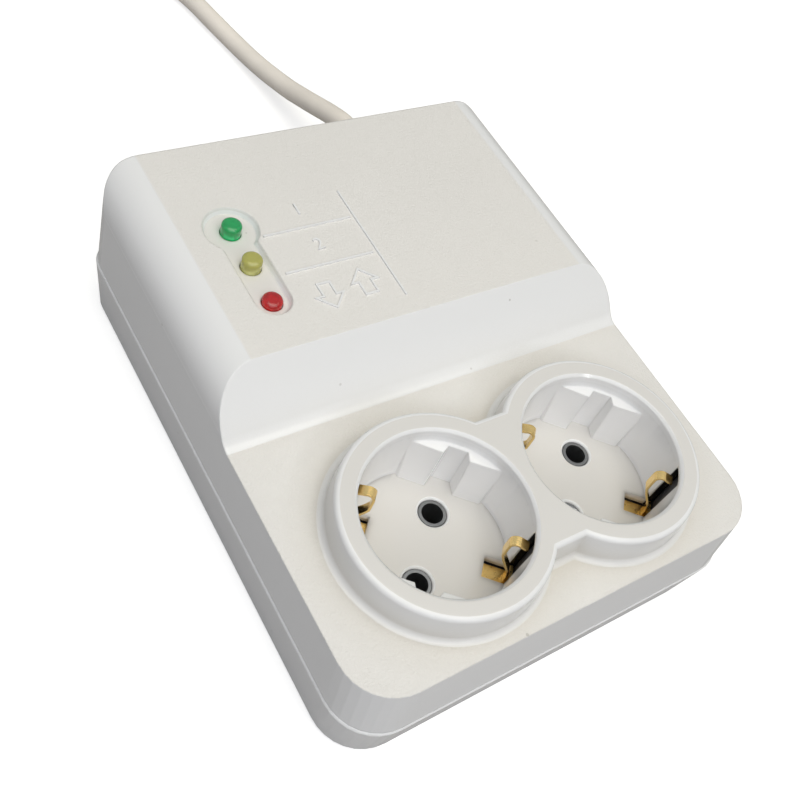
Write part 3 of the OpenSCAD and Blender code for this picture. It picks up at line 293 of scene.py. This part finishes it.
def mix_colours(tree, share, first, second):
    node = add(tree, "ShaderNodeMix", data_type="RGBA")
    if isinstance(share, (int, float)):
        node.inputs[0].default_value = share
    else:
        tree.links.new(share, node.inputs[0])
    for socket, value in ((node.inputs[6], first), (node.inputs[7], second)):
        if isinstance(value, (tuple, list)):
            socket.default_value = (*value[:3], 1)
        else:
            tree.links.new(value, socket)
    return node.outputs[2]


def noise(tree, scale, detail=2.0, roughness=0.5):
    node = put(add(tree, "ShaderNodeTexNoise"), Scale=scale, Detail=detail, Roughness=roughness)
    tree.links.new(own_place(tree), node.inputs["Vector"])
    return node.outputs["Fac"]


def specks(tree, scale, size):
    node = put(add(tree, "ShaderNodeTexVoronoi"), Scale=scale)
    tree.links.new(own_place(tree), node.inputs["Vector"])
    return span(tree, node.outputs["Distance"], size, size * 1.6, 1.0, 0.0)


def bump(tree, height, depth, base_normal=None, strength=1.0):
    node = add(tree, "ShaderNodeBump")
    put(node, Distance=depth, Strength=strength)
    tree.links.new(height, node.inputs["Height"])
    if base_normal is not None:
        tree.links.new(base_normal, node.inputs["Normal"])
    return node.outputs["Normal"]


def rounded_normal(tree, radius, samples=6):
    return put(add(tree, "ShaderNodeBevel", samples=samples), Radius=radius).outputs["Normal"]


def dress(node_name, material):
    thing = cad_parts[node_name]
    thing.data.materials.clear()
    thing.data.materials.append(material)
    return thing


def make_object(name, mesh, material, smooth=True):
    thing = bpy.data.objects.new(name, mesh)
    bpy.context.scene.collection.objects.link(thing)
    mesh.materials.append(material)
    if smooth:
        for face in mesh.polygons:
            face.use_smooth = True
    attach(thing, CASE)
    return thing


def mesh_from(name, make):
    mesh = bpy.data.meshes.new(name)
    form = bmesh.new()
    make(form)
    bmesh.ops.recalc_face_normals(form, faces=form.faces)
    form.to_mesh(mesh)
    form.free()
    return mesh


def add_prism(form, outline, low, high):
    """Upright prism on an outline in the row frame, all in metres."""
    below = [form.verts.new((x, y, low)) for x, y in outline]
    above = [form.verts.new((x, y, high)) for x, y in outline]
    count = len(outline)
    form.faces.new(above)
    form.faces.new(list(reversed(below)))
    for i in range(count):
        j = (i + 1) % count
        form.faces.new((below[i], below[j], above[j], above[i]))


def add_band(form, outline, width, low, high):
    """Closed band of even width along an outline that runs anticlockwise."""
    count = len(outline)
    rings = []
    for side, level in ((-1, low), (-1, high), (1, high), (1, low)):
        ring = []
        for i in range(count):
            here = Vector(outline[i])
            before = (here - Vector(outline[i - 1])).normalized()
            after = (Vector(outline[(i + 1) % count]) - here).normalized()
            miter = Vector((before.y + after.y, -before.x - after.x))
            miter *= side * width / (1 + before.dot(after)) / 2
            ring.append(form.verts.new((here.x + miter.x, here.y + miter.y, level)))
        rings.append(ring)
    for a, b in zip(rings, rings[1:] + rings[:1]):
        for i in range(count):
            j = (i + 1) % count
            form.faces.new((a[i], a[j], b[j], b[i]))


def stroke(first, second, width):
    a, b = Vector(first), Vector(second)
    along = (b - a).normalized() * (width / 2)
    side = Vector((-along.y, along.x))
    corners = (a - along + side, a - along - side, b + along - side, b + along + side)
    return [tuple(corner) for corner in corners]


# Cord route, as the solids' source makes it
def curve_point(points, i, share):
    a, b = points[max(i - 1, 0)], points[i]
    c, d = points[i + 1], points[min(i + 2, len(points) - 1)]
    return tuple(
        (2 * q + (r - p) * share + (2 * p - 5 * q + 4 * r - s) * share**2
         + (3 * q - p - 3 * r + s) * share**3) / 2
        for p, q, r, s in zip(a, b, c, d))


def smooth_route(points, steps):
    line = [curve_point(points, i, k / steps) for i in range(len(points) - 1) for k in range(steps)]
    return line + [tuple(float(v) for v in points[-1])]


def coil_point(turn):
    inner = COIL_RADIUS - COIL_TURNS * COIL_STEP
    rise = min(max((turn - COIL_TURNS) / 0.5, 0), 1)
    height = COIL_LOW + COIL_STEP * rise * rise * (3 - 2 * rise)
    if turn < COIL_TURNS:
        radius = COIL_RADIUS - COIL_STEP * turn
    elif turn < COIL_TURNS + 0.5:
        radius = inner - COIL_DIP * COIL_STEP * math.sin(math.tau * (turn - COIL_TURNS))
    else:
        radius = inner + COIL_STEP * (turn - COIL_TURNS - 0.5)
    angle = math.radians(COIL_START - 360 * turn)
    x = COIL_MIDDLE[0] + radius * math.cos(angle)
    y = COIL_MIDDLE[1] + radius * math.sin(angle)
    return (x, y, height)


def whole_cord():
    total = 2 * COIL_TURNS + 0.5
    rings = 40
    coil = [coil_point(k / rings) for k in range(1, round(total * rings))]
    line = smooth_route(CORD_ROUTE, 4) + coil + smooth_route(PLUG_ROUTE, 4)
    return [Vector(p) * MM for p in line]


# Finishes
def painted_corner_shade(tree, colour, place_share):
    """Painted shade: slight warm darkening of the colour where the outer faces meet in a corner,
    taken from an ambient occlusion node.
    """
    corner_occlusion = add(tree, "ShaderNodeAmbientOcclusion", samples=4, only_local=True)
    put(corner_occlusion, Distance=CORNER_SHADE_REACH)
    corner_shade_share = both(tree, span(tree, corner_occlusion.outputs["AO"], 0.45, 0.95, 1.0, 0.0), place_share)
    node = add(tree, "ShaderNodeMix", data_type="RGBA", blend_type="MULTIPLY")
    node.inputs[0].default_value = 1
    tree.links.new(colour, node.inputs[6])
    tree.links.new(mix_colours(tree, corner_shade_share, (1, 1, 1), CORNER_SHADE_TINT), node.inputs[7])
    return node.outputs[2]


def socket_masks(tree, place, height):
    """Masks of the earth slots, of the soft foot of the well walls and of the wells."""
    turn = math.radians(SOCKET_TURN)
    slots, feet, wells = [], [], []
    for side in (-1, 1):
        middle = (side * SOCKET_X * MM, -SOCKET_Y * MM, 0)
        flat = vector_node(tree, "SUBTRACT", place, middle)
        flat = vector_node(tree, "MULTIPLY", flat, (1, 1, 0))
        reach = vector_node(tree, "LENGTH", flat)
        across = vector_node(tree, "DOT_PRODUCT", flat, (-math.sin(turn), math.cos(turn), 0))
        inner = rises(tree, reach, SLOT_INNER, SLOT_INNER + 0.3)
        outer = falls(tree, reach, SLOT_OUTER - 0.3, SLOT_OUTER)
        slots.append(both(tree, inner, outer))
        well = falls(tree, reach, WELL_REACH, WELL_REACH + 0.4)
        wells.append(well)
        beside_ribs = rises(tree, size_of(tree, across), RIB_SIDE, RIB_SIDE + 0.8)
        feet.append(both(tree, well, beside_ribs))
    low = falls(tree, height, FLOOR_Z + FOOT_HIGH, FLOOR_Z + FOOT_HIGH + 0.8)
    return either(tree, *slots), both(tree, either(tree, *feet), low), either(tree, *wells)


def shell_finish(name, settings, textured_above, sockets=False):
    """Moulded plastic: fine texture on the level outer faces, polished elsewhere."""
    material, tree, shader = new_material(name)
    links = tree.links
    base = tuple(settings.colour)
    place = own_place(tree)
    height = upright_part(tree, place)
    facing = upright_part(tree, add(tree, "ShaderNodeNewGeometry").outputs["Normal"])
    level = span(tree, facing, 0.994, 0.9992)
    outside = rises(tree, height, textured_above - 1, textured_above)
    texture = both(tree, level, outside)
    if sockets:
        top = rises(tree, height, TOP_Z - 0.7, TOP_Z - 0.5)
        under_rims = falls(tree, height, RIM_Z - 0.8, RIM_Z - 0.6)
        under_recess = falls(tree, height, RIM_Z + 1, RIM_Z + 1.2)
        texture = both(tree, texture, either(tree, top, under_rims))
        outside = both(tree, outside, either(tree, top, under_recess))

    cloud = span(tree, noise(tree, 28.0, 3.0), 0.3, 0.7)
    cream = mix_colours(tree, cloud, base, toned(base, 0.985))
    # Polished faces in two painted tones of one plastic: upright faces take the brighter bluish
    # colour as a painted sheen, level faces a darker cream.
    polished = mix_colours(tree, level, tuple(settings.polished_sheen_colour), toned(base, 0.93))
    colour = mix_colours(tree, texture, polished, cream)
    if sockets:
        slot, foot, well = socket_masks(tree, place, height)
        upright = span(tree, size_of(tree, facing), 0.2, 0.4, 1.0, 0.0)
        # Painted light in the wells: upright walls painted a brighter bluish white as a painted
        # reflection, level floors painted darker as painted shade.
        colour = mix_colours(tree, both(tree, well, upright), colour, WELL_WALL_SHEEN)
        colour = mix_colours(tree, both(tree, well, level), colour, toned(base, 0.86))
    dirt = both(tree, specks(tree, 95.0, 0.028), span(tree, noise(tree, 60.0), 0.48, 0.62))
    colour = mix_colours(tree, both(tree, dirt, 0.5), colour, SPECK_BROWN)

    edges = rounded_normal(tree, settings.edge_radius)
    if sockets:
        outside = both(tree, outside, span(tree, well, 0.0, 0.4, 1.0, 0.0))
        # Painted shade: the walls of the earth slots below their top are painted near black, as
        # shade deep in the slot.
        below = falls(tree, height, SLOT_TOP_Z, SLOT_TOP_Z + 0.7)
        slot_shade = both(tree, slot, both(tree, below, upright))
        colour = mix_colours(tree, slot_shade, colour, SLOT_SHADE_BLACK)
        radius = span(tree, foot, 0.0, 1.0, settings.edge_radius, FOOT_RADIUS)
        links.new(radius, edges.node.inputs["Radius"])
    # Painted shade in the outer corners, kept to the outer faces and off the wells.
    links.new(painted_corner_shade(tree, colour, outside), shader.inputs["Base Color"])

    polish = span(tree, noise(tree, 40.0, 2.0), 0.3, 0.7,
                  settings.gloss_roughness, settings.gloss_roughness + 0.03)
    rough = add(tree, "ShaderNodeMix", data_type="FLOAT")
    links.new(texture, rough.inputs[0])
    links.new(polish, rough.inputs[2])
    rough.inputs[3].default_value = settings.textured_roughness
    links.new(rough.outputs[0], shader.inputs["Roughness"])
    grain = both(tree, noise(tree, 1700.0, 2.0, 0.6), texture)
    links.new(bump(tree, grain, 0.00022, edges, 0.85), shader.inputs["Normal"])
    put(shader, IOR=1.46)
    return material


def plain_finish(name, colour, roughness=0.4, metallic=0.0, grain=0.0, scale=900.0, spread=0.06,
                 edge=0.0002):
    """Moulded, lacquered or metal finish with a little variation in colour and gloss."""
    material, tree, shader = new_material(name)
    cloud = span(tree, noise(tree, 120.0, 3.0), 0.35, 0.65)
    gloss = span(tree, noise(tree, 260.0, 3.0), 0.3, 0.7, roughness * 0.85, roughness * 1.15)
    surface = bump(tree, noise(tree, scale, 2.0), 0.00005, rounded_normal(tree, edge, 4), grain)
    tree.links.new(mix_colours(tree, cloud, tuple(colour), toned(colour, 1 - spread)),
                   shader.inputs["Base Color"])
    tree.links.new(gloss, shader.inputs["Roughness"])
    tree.links.new(surface, shader.inputs["Normal"])
    put(shader, Metallic=metallic)
    return material


def brass_finish(name, colour, roughness, depth):
    """Stamped brass with rolling lines and a few dull patches."""
    material, tree, shader = new_material(name)
    stretch = put(add(tree, "ShaderNodeMapping"), Scale=(1100, 1100, 90))
    tree.links.new(own_place(tree), stretch.inputs["Vector"])
    rolling = put(add(tree, "ShaderNodeTexNoise"), Scale=1.0, Detail=3.0)
    tree.links.new(stretch.outputs["Vector"], rolling.inputs["Vector"])
    lines = rolling.outputs["Fac"]
    patches = span(tree, noise(tree, 260.0, 2.0), 0.42, 0.72)
    surface = bump(tree, lines, depth, rounded_normal(tree, 0.00015, 4), 0.12)
    tree.links.new(mix_colours(tree, patches, tuple(colour), toned(colour, 0.82)),
                   shader.inputs["Base Color"])
    tree.links.new(span(tree, lines, 0.3, 0.7, roughness, roughness + 0.08),
                   shader.inputs["Roughness"])
    tree.links.new(surface, shader.inputs["Normal"])
    put(shader, Metallic=1.0)
    return material


def lens_finish(name, colour):
    """Tinted cast resin of an indicator: clear, a little cloudy, glossy, its lower part painted
    paler as light shining through the resin.
    """
    material, tree, shader = new_material(name)
    # Painted light: the lens is painted paler towards its foot and takes its full colour at the
    # top.
    height = rises(tree, upright_part(tree, own_place(tree)), TOP_Z - 1.0, TOP_Z + 0.8)
    pale = tuple(min(part * 2.4 + 0.01, 1) for part in colour)
    body = mix_colours(tree, height, pale, tuple(colour))
    cloud = span(tree, noise(tree, 700.0, 2.0), 0.35, 0.7)
    gloss = span(tree, noise(tree, 500.0, 2.0), 0.3, 0.7, 0.08, 0.16)
    tree.links.new(mix_colours(tree, cloud, body, tuple(colour)), shader.inputs["Base Color"])
    tree.links.new(gloss, shader.inputs["Roughness"])
    tree.links.new(rounded_normal(tree, 0.0016, 10), shader.inputs["Normal"])
    put(shader, IOR=1.5, Transmission_Weight=0.35, Coat_Weight=0.35, Coat_Roughness=0.06,
        Subsurface_Weight=0.25, Subsurface_Scale=0.002, Subsurface_Radius=(1.0, 1.0, 1.0))
    return material


def sheath_finish(name, colour):
    """Soft extruded sheath with faint drawing lines and handling marks."""
    material, tree, shader = new_material(name)
    cloud = span(tree, noise(tree, 60.0, 4.0), 0.35, 0.7)
    gloss = span(tree, noise(tree, 220.0, 3.0), 0.3, 0.7, 0.38, 0.52)
    surface = bump(tree, noise(tree, 900.0, 2.0), 0.00006, None, 0.35)
    tree.links.new(mix_colours(tree, cloud, tuple(colour), toned(colour, 0.93)),
                   shader.inputs["Base Color"])
    tree.links.new(gloss, shader.inputs["Roughness"])
    tree.links.new(surface, shader.inputs["Normal"])
    put(shader, IOR=1.48)
    return material


# Operators, one for each group of pieces
class LEAD_OT_stage(bpy.types.Operator):
    """Sets the camera, the pale floor and the studio light"""

    bl_idname = "lead.stage"
    bl_label = "Stage"

    def execute(self, context):
        scene = context.scene
        scene.view_settings.view_transform = "Standard"
        camera = bpy.data.cameras.new("camera")
        camera.lens = CAMERA_LENS
        camera.sensor_width = 36
        camera.clip_start = 0.01
        viewer = bpy.data.objects.new("camera", camera)
        scene.collection.objects.link(viewer)
        turned = Matrix((CAMERA_RIGHT, CAMERA_UP, CAMERA_BACK)).transposed().to_4x4()
        viewer.matrix_world = Matrix.Translation(CAMERA_PLACE) @ turned
        scene.camera = viewer

        self.room(scene)
        self.table(scene)
        for lamp in LAMPS:
            self.lamp(*lamp)
        return {"FINISHED"}

    def room(self, scene):
        """Soft light for the object, plain white for the camera"""
        world = bpy.data.worlds.new("studio")
        scene.world = world
        world.use_nodes = True
        tree = world.node_tree
        tree.nodes.clear()
        path = add(tree, "ShaderNodeLightPath").outputs
        white = put(add(tree, "ShaderNodeBackground"), Color=(1, 1, 1, 1), Strength=1.0)
        soft = put(add(tree, "ShaderNodeBackground"), Color=ROOM_COLOUR)
        strength = span(tree, path["Is Glossy Ray"], 0.0, 1.0, ROOM_LIGHT, ROOM_GLOSS)
        tree.links.new(strength, soft.inputs["Strength"])
        seen = either(tree, path["Is Camera Ray"], path["Is Transmission Ray"])
        surface = self.choose(tree, seen, soft.outputs[0], white.outputs[0])
        tree.links.new(surface, add(tree, "ShaderNodeOutputWorld").inputs["Surface"])

    def table(self, scene):
        """Pale table that keeps the shadow and turns to white further out"""
        edge = TABLE_HALF
        corners = [(-edge, -edge), (edge, -edge), (edge, edge), (-edge, edge)]
        mesh = mesh_from("floor", lambda form: add_prism(form, corners, -0.01, 0))
        material, tree, shader = new_material("floor")
        put(shader, Roughness=0.9, Base_Color=TABLE_PAINT, Specular_IOR_Level=0.0)
        glow = put(add(tree, "ShaderNodeEmission"), Color=(1, 1, 1, 1))
        reach = vector_node(tree, "LENGTH", own_place(tree))
        strength = span(tree, reach, TABLE_NEAR, TABLE_FAR, TABLE_GLOW, 1.0)
        tree.links.new(strength, glow.inputs["Strength"])
        lit = add(tree, "ShaderNodeAddShader")
        tree.links.new(shader.outputs[0], lit.inputs[0])
        tree.links.new(glow.outputs[0], lit.inputs[1])
        bounce = put(add(tree, "ShaderNodeBsdfDiffuse"), Color=TABLE_BOUNCE)
        seen = add(tree, "ShaderNodeLightPath").outputs["Is Camera Ray"]
        surface = self.choose(tree, seen, bounce.outputs[0], lit.outputs[0])
        tree.links.new(surface, tree.nodes["Material Output"].inputs["Surface"])
        mesh.materials.append(material)
        floor = bpy.data.objects.new("floor", mesh)
        scene.collection.objects.link(floor)

    def choose(self, tree, share, first, second):
        node = add(tree, "ShaderNodeMixShader")
        for socket, source in zip(node.inputs, (share, first, second)):
            tree.links.new(source, socket)
        return node.outputs[0]

    def lamp(self, name, place, aim, width, height, power, colour):
        light = bpy.data.lights.new(name, "AREA")
        light.shape = "RECTANGLE"
        light.size, light.size_y = width, height
        light.energy = power
        light.color = colour
        thing = bpy.data.objects.new(name, light)
        bpy.context.scene.collection.objects.link(thing)
        thing.location = place
        thing.rotation_euler = (Vector(aim) - Vector(place)).to_track_quat("-Z", "Y").to_euler()


class LEAD_OT_cord(bpy.types.Operator):
    """Lays the supply cord, its coil and the lead to the plug in one curve"""

    bl_idname = "lead.cord"
    bl_label = "Cord"

    def execute(self, context):
        settings = context.scene.lead_cord
        line = whole_cord()
        curve = bpy.data.curves.new("supply_lead", "CURVE")
        curve.dimensions = "3D"
        curve.bevel_depth = settings.diameter / 2
        curve.bevel_resolution = 5
        curve.use_fill_caps = True
        spline = curve.splines.new("POLY")
        spline.points.add(len(line) - 1)
        for point, place in zip(spline.points, line):
            point.co = (*place, 1)
        spline.use_smooth = True
        cord = bpy.data.objects.new("supply_lead", curve)
        context.scene.collection.objects.link(cord)
        finish = sheath_finish("cord_sheath", settings.colour)
        curve.materials.append(finish)
        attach(cord, CASE)
        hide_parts("supply_cord", "cord_coil", "plug_cord")
        tie = self.tie()
        dress("cord_bush", finish)
        dress("cord_tail", finish)
        return {"FINISHED"}

    def tie(self):
        """Strap round the bundle of turns, with its buckle on top"""
        inner, outer = COIL_MIDDLE[0] + STRAP_INNER, COIL_MIDDLE[0] + STRAP_OUTER
        low, high = STRAP_LOW, COIL_LOW + COIL_STEP + STRAP_OVER
        middle = ((inner + outer) / 2, (low + high) / 2)
        reach = ((outer - inner) / 2, (high - low) / 2)

        def ring(grow):
            """Squared oval in X and Z, let out by grow"""
            points = []
            for k in range(STRAP_STEPS):
                angle = math.tau * k / STRAP_STEPS
                c, s = math.cos(angle), math.sin(angle)
                size = (abs(c) ** STRAP_SQUARE + abs(s) ** STRAP_SQUARE) ** (-1 / STRAP_SQUARE)
                points.append((middle[0] + (reach[0] + grow) * size * c,
                               middle[1] + (reach[1] + grow) * size * s))
            return points

        def band(form):
            outer_half = STRAP_HALF - STRAP_CHAMFER
            loops = []
            for grow, offset in ((0, -STRAP_HALF), (STRAP_THICK, -outer_half),
                                 (STRAP_THICK, outer_half), (0, STRAP_HALF)):
                y = (COIL_MIDDLE[1] + offset) * MM
                loops.append([form.verts.new((x * MM, y, z * MM)) for x, z in ring(grow)])
            for a, b in zip(loops, loops[1:] + loops[:1]):
                for k in range(STRAP_STEPS):
                    n = (k + 1) % STRAP_STEPS
                    form.faces.new((a[k], a[n], b[n], b[k]))

        def buckle(form):
            x, y = middle[0] - BUCKLE_SHIFT, COIL_MIDDLE[1]
            half_x, half_y = BUCKLE_HALF
            outline = [((x + sx * half_x) * MM, (y + sy * half_y) * MM)
                       for sx, sy in ((-1, -1), (1, -1), (1, 1), (-1, 1))]
            foot, head = ((high + level) * MM for level in BUCKLE_LEVELS)
            add_prism(form, outline, foot, head)
            bmesh.ops.bevel(form, geom=form.edges[:], offset=BUCKLE_ROUND * MM, segments=3,
                            affect="EDGES")

        finish = plain_finish("tie_plastic", (0.02, 0.02, 0.022), 0.38, 0.0, 0.2)
        strap = make_object("tie_strap", mesh_from("tie_strap", band), finish)
        head = make_object("tie_head", mesh_from("tie_head", buckle), finish, False)
        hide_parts("cord_tie")
        return [strap, head]


class LEAD_OT_shells(bpy.types.Operator):
    """Gives both shells their moulded cream finish"""

    bl_idname = "lead.shells"
    bl_label = "Shells"

    def execute(self, context):
        settings = context.scene.lead_shell
        dress("top_shell", shell_finish("top_shell", settings, DECK_TEXTURE_Z, True))
        dress("bottom_shell", shell_finish("bottom_shell", settings, NO_TEXTURE_Z))
        dress("case_screws", plain_finish("screw_steel", (0.55, 0.55, 0.57), 0.3, 1.0, 0.3))
        return {"FINISHED"}


class LEAD_OT_marks(bpy.types.Operator):
    """Raises the plain marks beside the indicators: dividing lines, arrows and figures"""

    bl_idname = "lead.marks"
    bl_label = "Moulded marks"

    def execute(self, context):
        settings = context.scene.lead_mark
        # The marks take the polished colour with its painted sheen, so the raised lines read
        # brighter.
        white = tuple(context.scene.lead_shell.polished_sheen_colour)
        line = settings.line
        finish = plain_finish("moulded_marks", white, 0.32, 0.0, 0.1, 1700.0, 0.03, line / 4)
        low, high = TOP_Z * MM - MARK_SUNK * MM, TOP_Z * MM + settings.height

        def rule(form, first, second):
            ends = [tuple(part * MM for part in point) for point in (first, second)]
            add_prism(form, stroke(*ends, line), low, high)

        def rules(form):
            for y in RULE_ROWS:
                rule(form, (RULE_ENDS[0], y), (RULE_ENDS[1], y))
            rule(form, (LONG_RULE_X, LONG_RULE_ENDS[0]), (LONG_RULE_X, LONG_RULE_ENDS[1]))

        def arrows(form):
            for middle, turn in ARROWS:
                outline = [((middle[0] + turn * x) * MM, (middle[1] + turn * y) * MM)
                           for x, y in ARROW_SHAPE]
                add_band(form, outline, line, low, high)

        for name, make in (("dividing_lines", rules), ("limit_arrows", arrows)):
            make_object(name, mesh_from(name, make), finish, False)
        for figure, y in FIGURES:
            self.figure(figure, (FIGURE_X, y), low, high, finish)
        return {"FINISHED"}

    def figure(self, text, place, low, high, material):
        font = bpy.data.curves.new("figure_" + text, "FONT")
        font.body = text
        font.size = FIGURE_SIZE * MM
        font.align_x = "CENTER"
        font.align_y = "CENTER"
        font.extrude = (high - low) / 2
        font.materials.append(material)
        thing = bpy.data.objects.new("figure_" + text, font)
        bpy.context.scene.collection.objects.link(thing)
        thing.location = (place[0] * MM, place[1] * MM, (low + high) / 2)
        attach(thing, CASE)


class LEAD_OT_contacts(bpy.types.Operator):
    """Finishes sleeves, bars, earth strap and the curled earth clips"""

    bl_idname = "lead.contacts"
    bl_label = "Contacts"

    def execute(self, context):
        sleeve = plain_finish("sleeve_metal", (0.2, 0.205, 0.21), 0.34, 0.85, 0.2)
        brass = brass_finish("contact_brass", (0.72, 0.5, 0.18), 0.26, 0.00003)
        clip = brass_finish("clip_brass", (0.95, 0.68, 0.27), 0.18, 0.00001)
        for side in ("left", "right"):
            dress("live_sleeve_" + side, sleeve)
            dress("neutral_sleeve_" + side, sleeve)
            dress("earth_clip_" + side + "_front", clip)
            dress("earth_clip_" + side + "_rear", clip)
        for name in ("live_bar", "neutral_bar", "earth_strap", "plug_earth_contacts"):
            dress(name, brass)
        return {"FINISHED"}


class LEAD_OT_indicators(bpy.types.Operator):
    """Casts the green, yellow and red indicators in tinted resin"""

    bl_idname = "lead.indicators"
    bl_label = "Indicators"

    def execute(self, context):
        settings = context.scene.lead_lens
        for name in ("green", "yellow", "red"):
            dress("led_" + name, lens_finish("led_" + name, getattr(settings, name)))
        return {"FINISHED"}


class LEAD_OT_internals(bpy.types.Operator):
    """Finishes the board, the relay, the small parts, wires and clamps inside the case"""

    bl_idname = "lead.internals"
    bl_label = "Inside"

    def execute(self, context):
        rows = (
            (plain_finish("dark_plastic", (0.025, 0.025, 0.028), 0.45, 0.0, 0.3),
             ("contact_retainer", "relay_base", "smoothing_capacitor", "control_chip", "diodes",
              "led_spacers", "cord_clamp", "clip_backs")),
            (plain_finish("inner_steel", (0.55, 0.56, 0.58), 0.32, 1.0, 0.2),
             ("retainer_screws", "board_screws", "clamp_screws", "led_legs", "relay_yoke",
              "relay_armature")),
            (plain_finish("coil_copper", (0.6, 0.27, 0.12), 0.35, 0.8, 0.8, 2500.0),
             ("relay_coil", "relay_contact")),
            (plain_finish("varistor_blue", (0.05, 0.16, 0.5), 0.25, 0.0, 0.2),
             ("varistor", "trimmer_bodies")),
            (plain_finish("wire_brown", (0.16, 0.06, 0.025), 0.4), ("live_wire", "live_link")),
            (plain_finish("wire_blue", (0.03, 0.1, 0.5), 0.4), ("neutral_wire", "neutral_link")),
            (plain_finish("wire_green", (0.2, 0.42, 0.06), 0.4), ("earth_wire",)),
            (plain_finish("board_laminate", (0.02, 0.13, 0.05), 0.25, 0.0, 0.4, 1500.0, 0.3),
             ("circuit_board",)),
            (plain_finish("relay_cover", (0.04, 0.08, 0.3), 0.2), ("relay_cover",)),
            (plain_finish("film_capacitor", (0.5, 0.36, 0.05), 0.3), ("dropper_capacitor",)),
            (plain_finish("resistor_blue", (0.15, 0.35, 0.5), 0.25), ("resistors",)),
            (plain_finish("terminal_green", (0.02, 0.18, 0.08), 0.45), ("terminal_block",)),
            (plain_finish("rotor_white", (0.7, 0.7, 0.66), 0.4),
             ("trimmer_rotor_low", "trimmer_rotor_high")),
        )
        for finish, names in rows:
            for name in names:
                dress(name, finish)
        return {"FINISHED"}


class LEAD_OT_plug(bpy.types.Operator):
    """Finishes the side-entry plug and its pins"""

    bl_idname = "lead.plug"
    bl_label = "Plug"

    def execute(self, context):
        dress("plug_body", plain_finish(
            "plug_plastic", (0.74, 0.71, 0.66), 0.42, 0.0, 0.5, 1700.0, 0.03, 0.0008))
        dress("plug_pins", plain_finish("pin_nickel", (0.66, 0.66, 0.67), 0.16, 1.0, 0.1))
        return {"FINISHED"}


class LEAD_PT_panel(bpy.types.Panel):
    """Lists the steps that dress the lead"""

    bl_label = "Voltage Protector Lead"
    bl_idname = "LEAD_PT_panel"
    bl_space_type = "VIEW_3D"
    bl_region_type = "UI"
    bl_category = "Lead"

    def draw(self, context):
        layout = self.layout
        scene = context.scene
        for group in (scene.lead_shell, scene.lead_cord, scene.lead_mark, scene.lead_lens):
            box = layout.box()
            for name in group.__annotations__:
                box.prop(group, name)
        for step in STEPS:
            layout.operator(step.bl_idname)


SETTINGS = {
    "lead_shell": LeadShellSettings,
    "lead_cord": LeadCordSettings,
    "lead_mark": LeadMarkSettings,
    "lead_lens": LeadLensSettings,
}
STEPS = (
    LEAD_OT_stage,
    LEAD_OT_cord,
    LEAD_OT_shells,
    LEAD_OT_marks,
    LEAD_OT_contacts,
    LEAD_OT_indicators,
    LEAD_OT_internals,
    LEAD_OT_plug,
)


def register():
    for kind in (*SETTINGS.values(), *STEPS, LEAD_PT_panel):
        bpy.utils.register_class(kind)
    for name, kind in SETTINGS.items():
        setattr(bpy.types.Scene, name, PointerProperty(type=kind))


def unregister():
    for name in SETTINGS:
        delattr(bpy.types.Scene, name)
    for kind in reversed((*SETTINGS.values(), *STEPS, LEAD_PT_panel)):
        bpy.utils.unregister_class(kind)


def main():
    register()
    for step in STEPS:
        group, name = step.bl_idname.split(".")
        getattr(getattr(bpy.ops, group), name)()


if __name__ == "__main__":
    main()
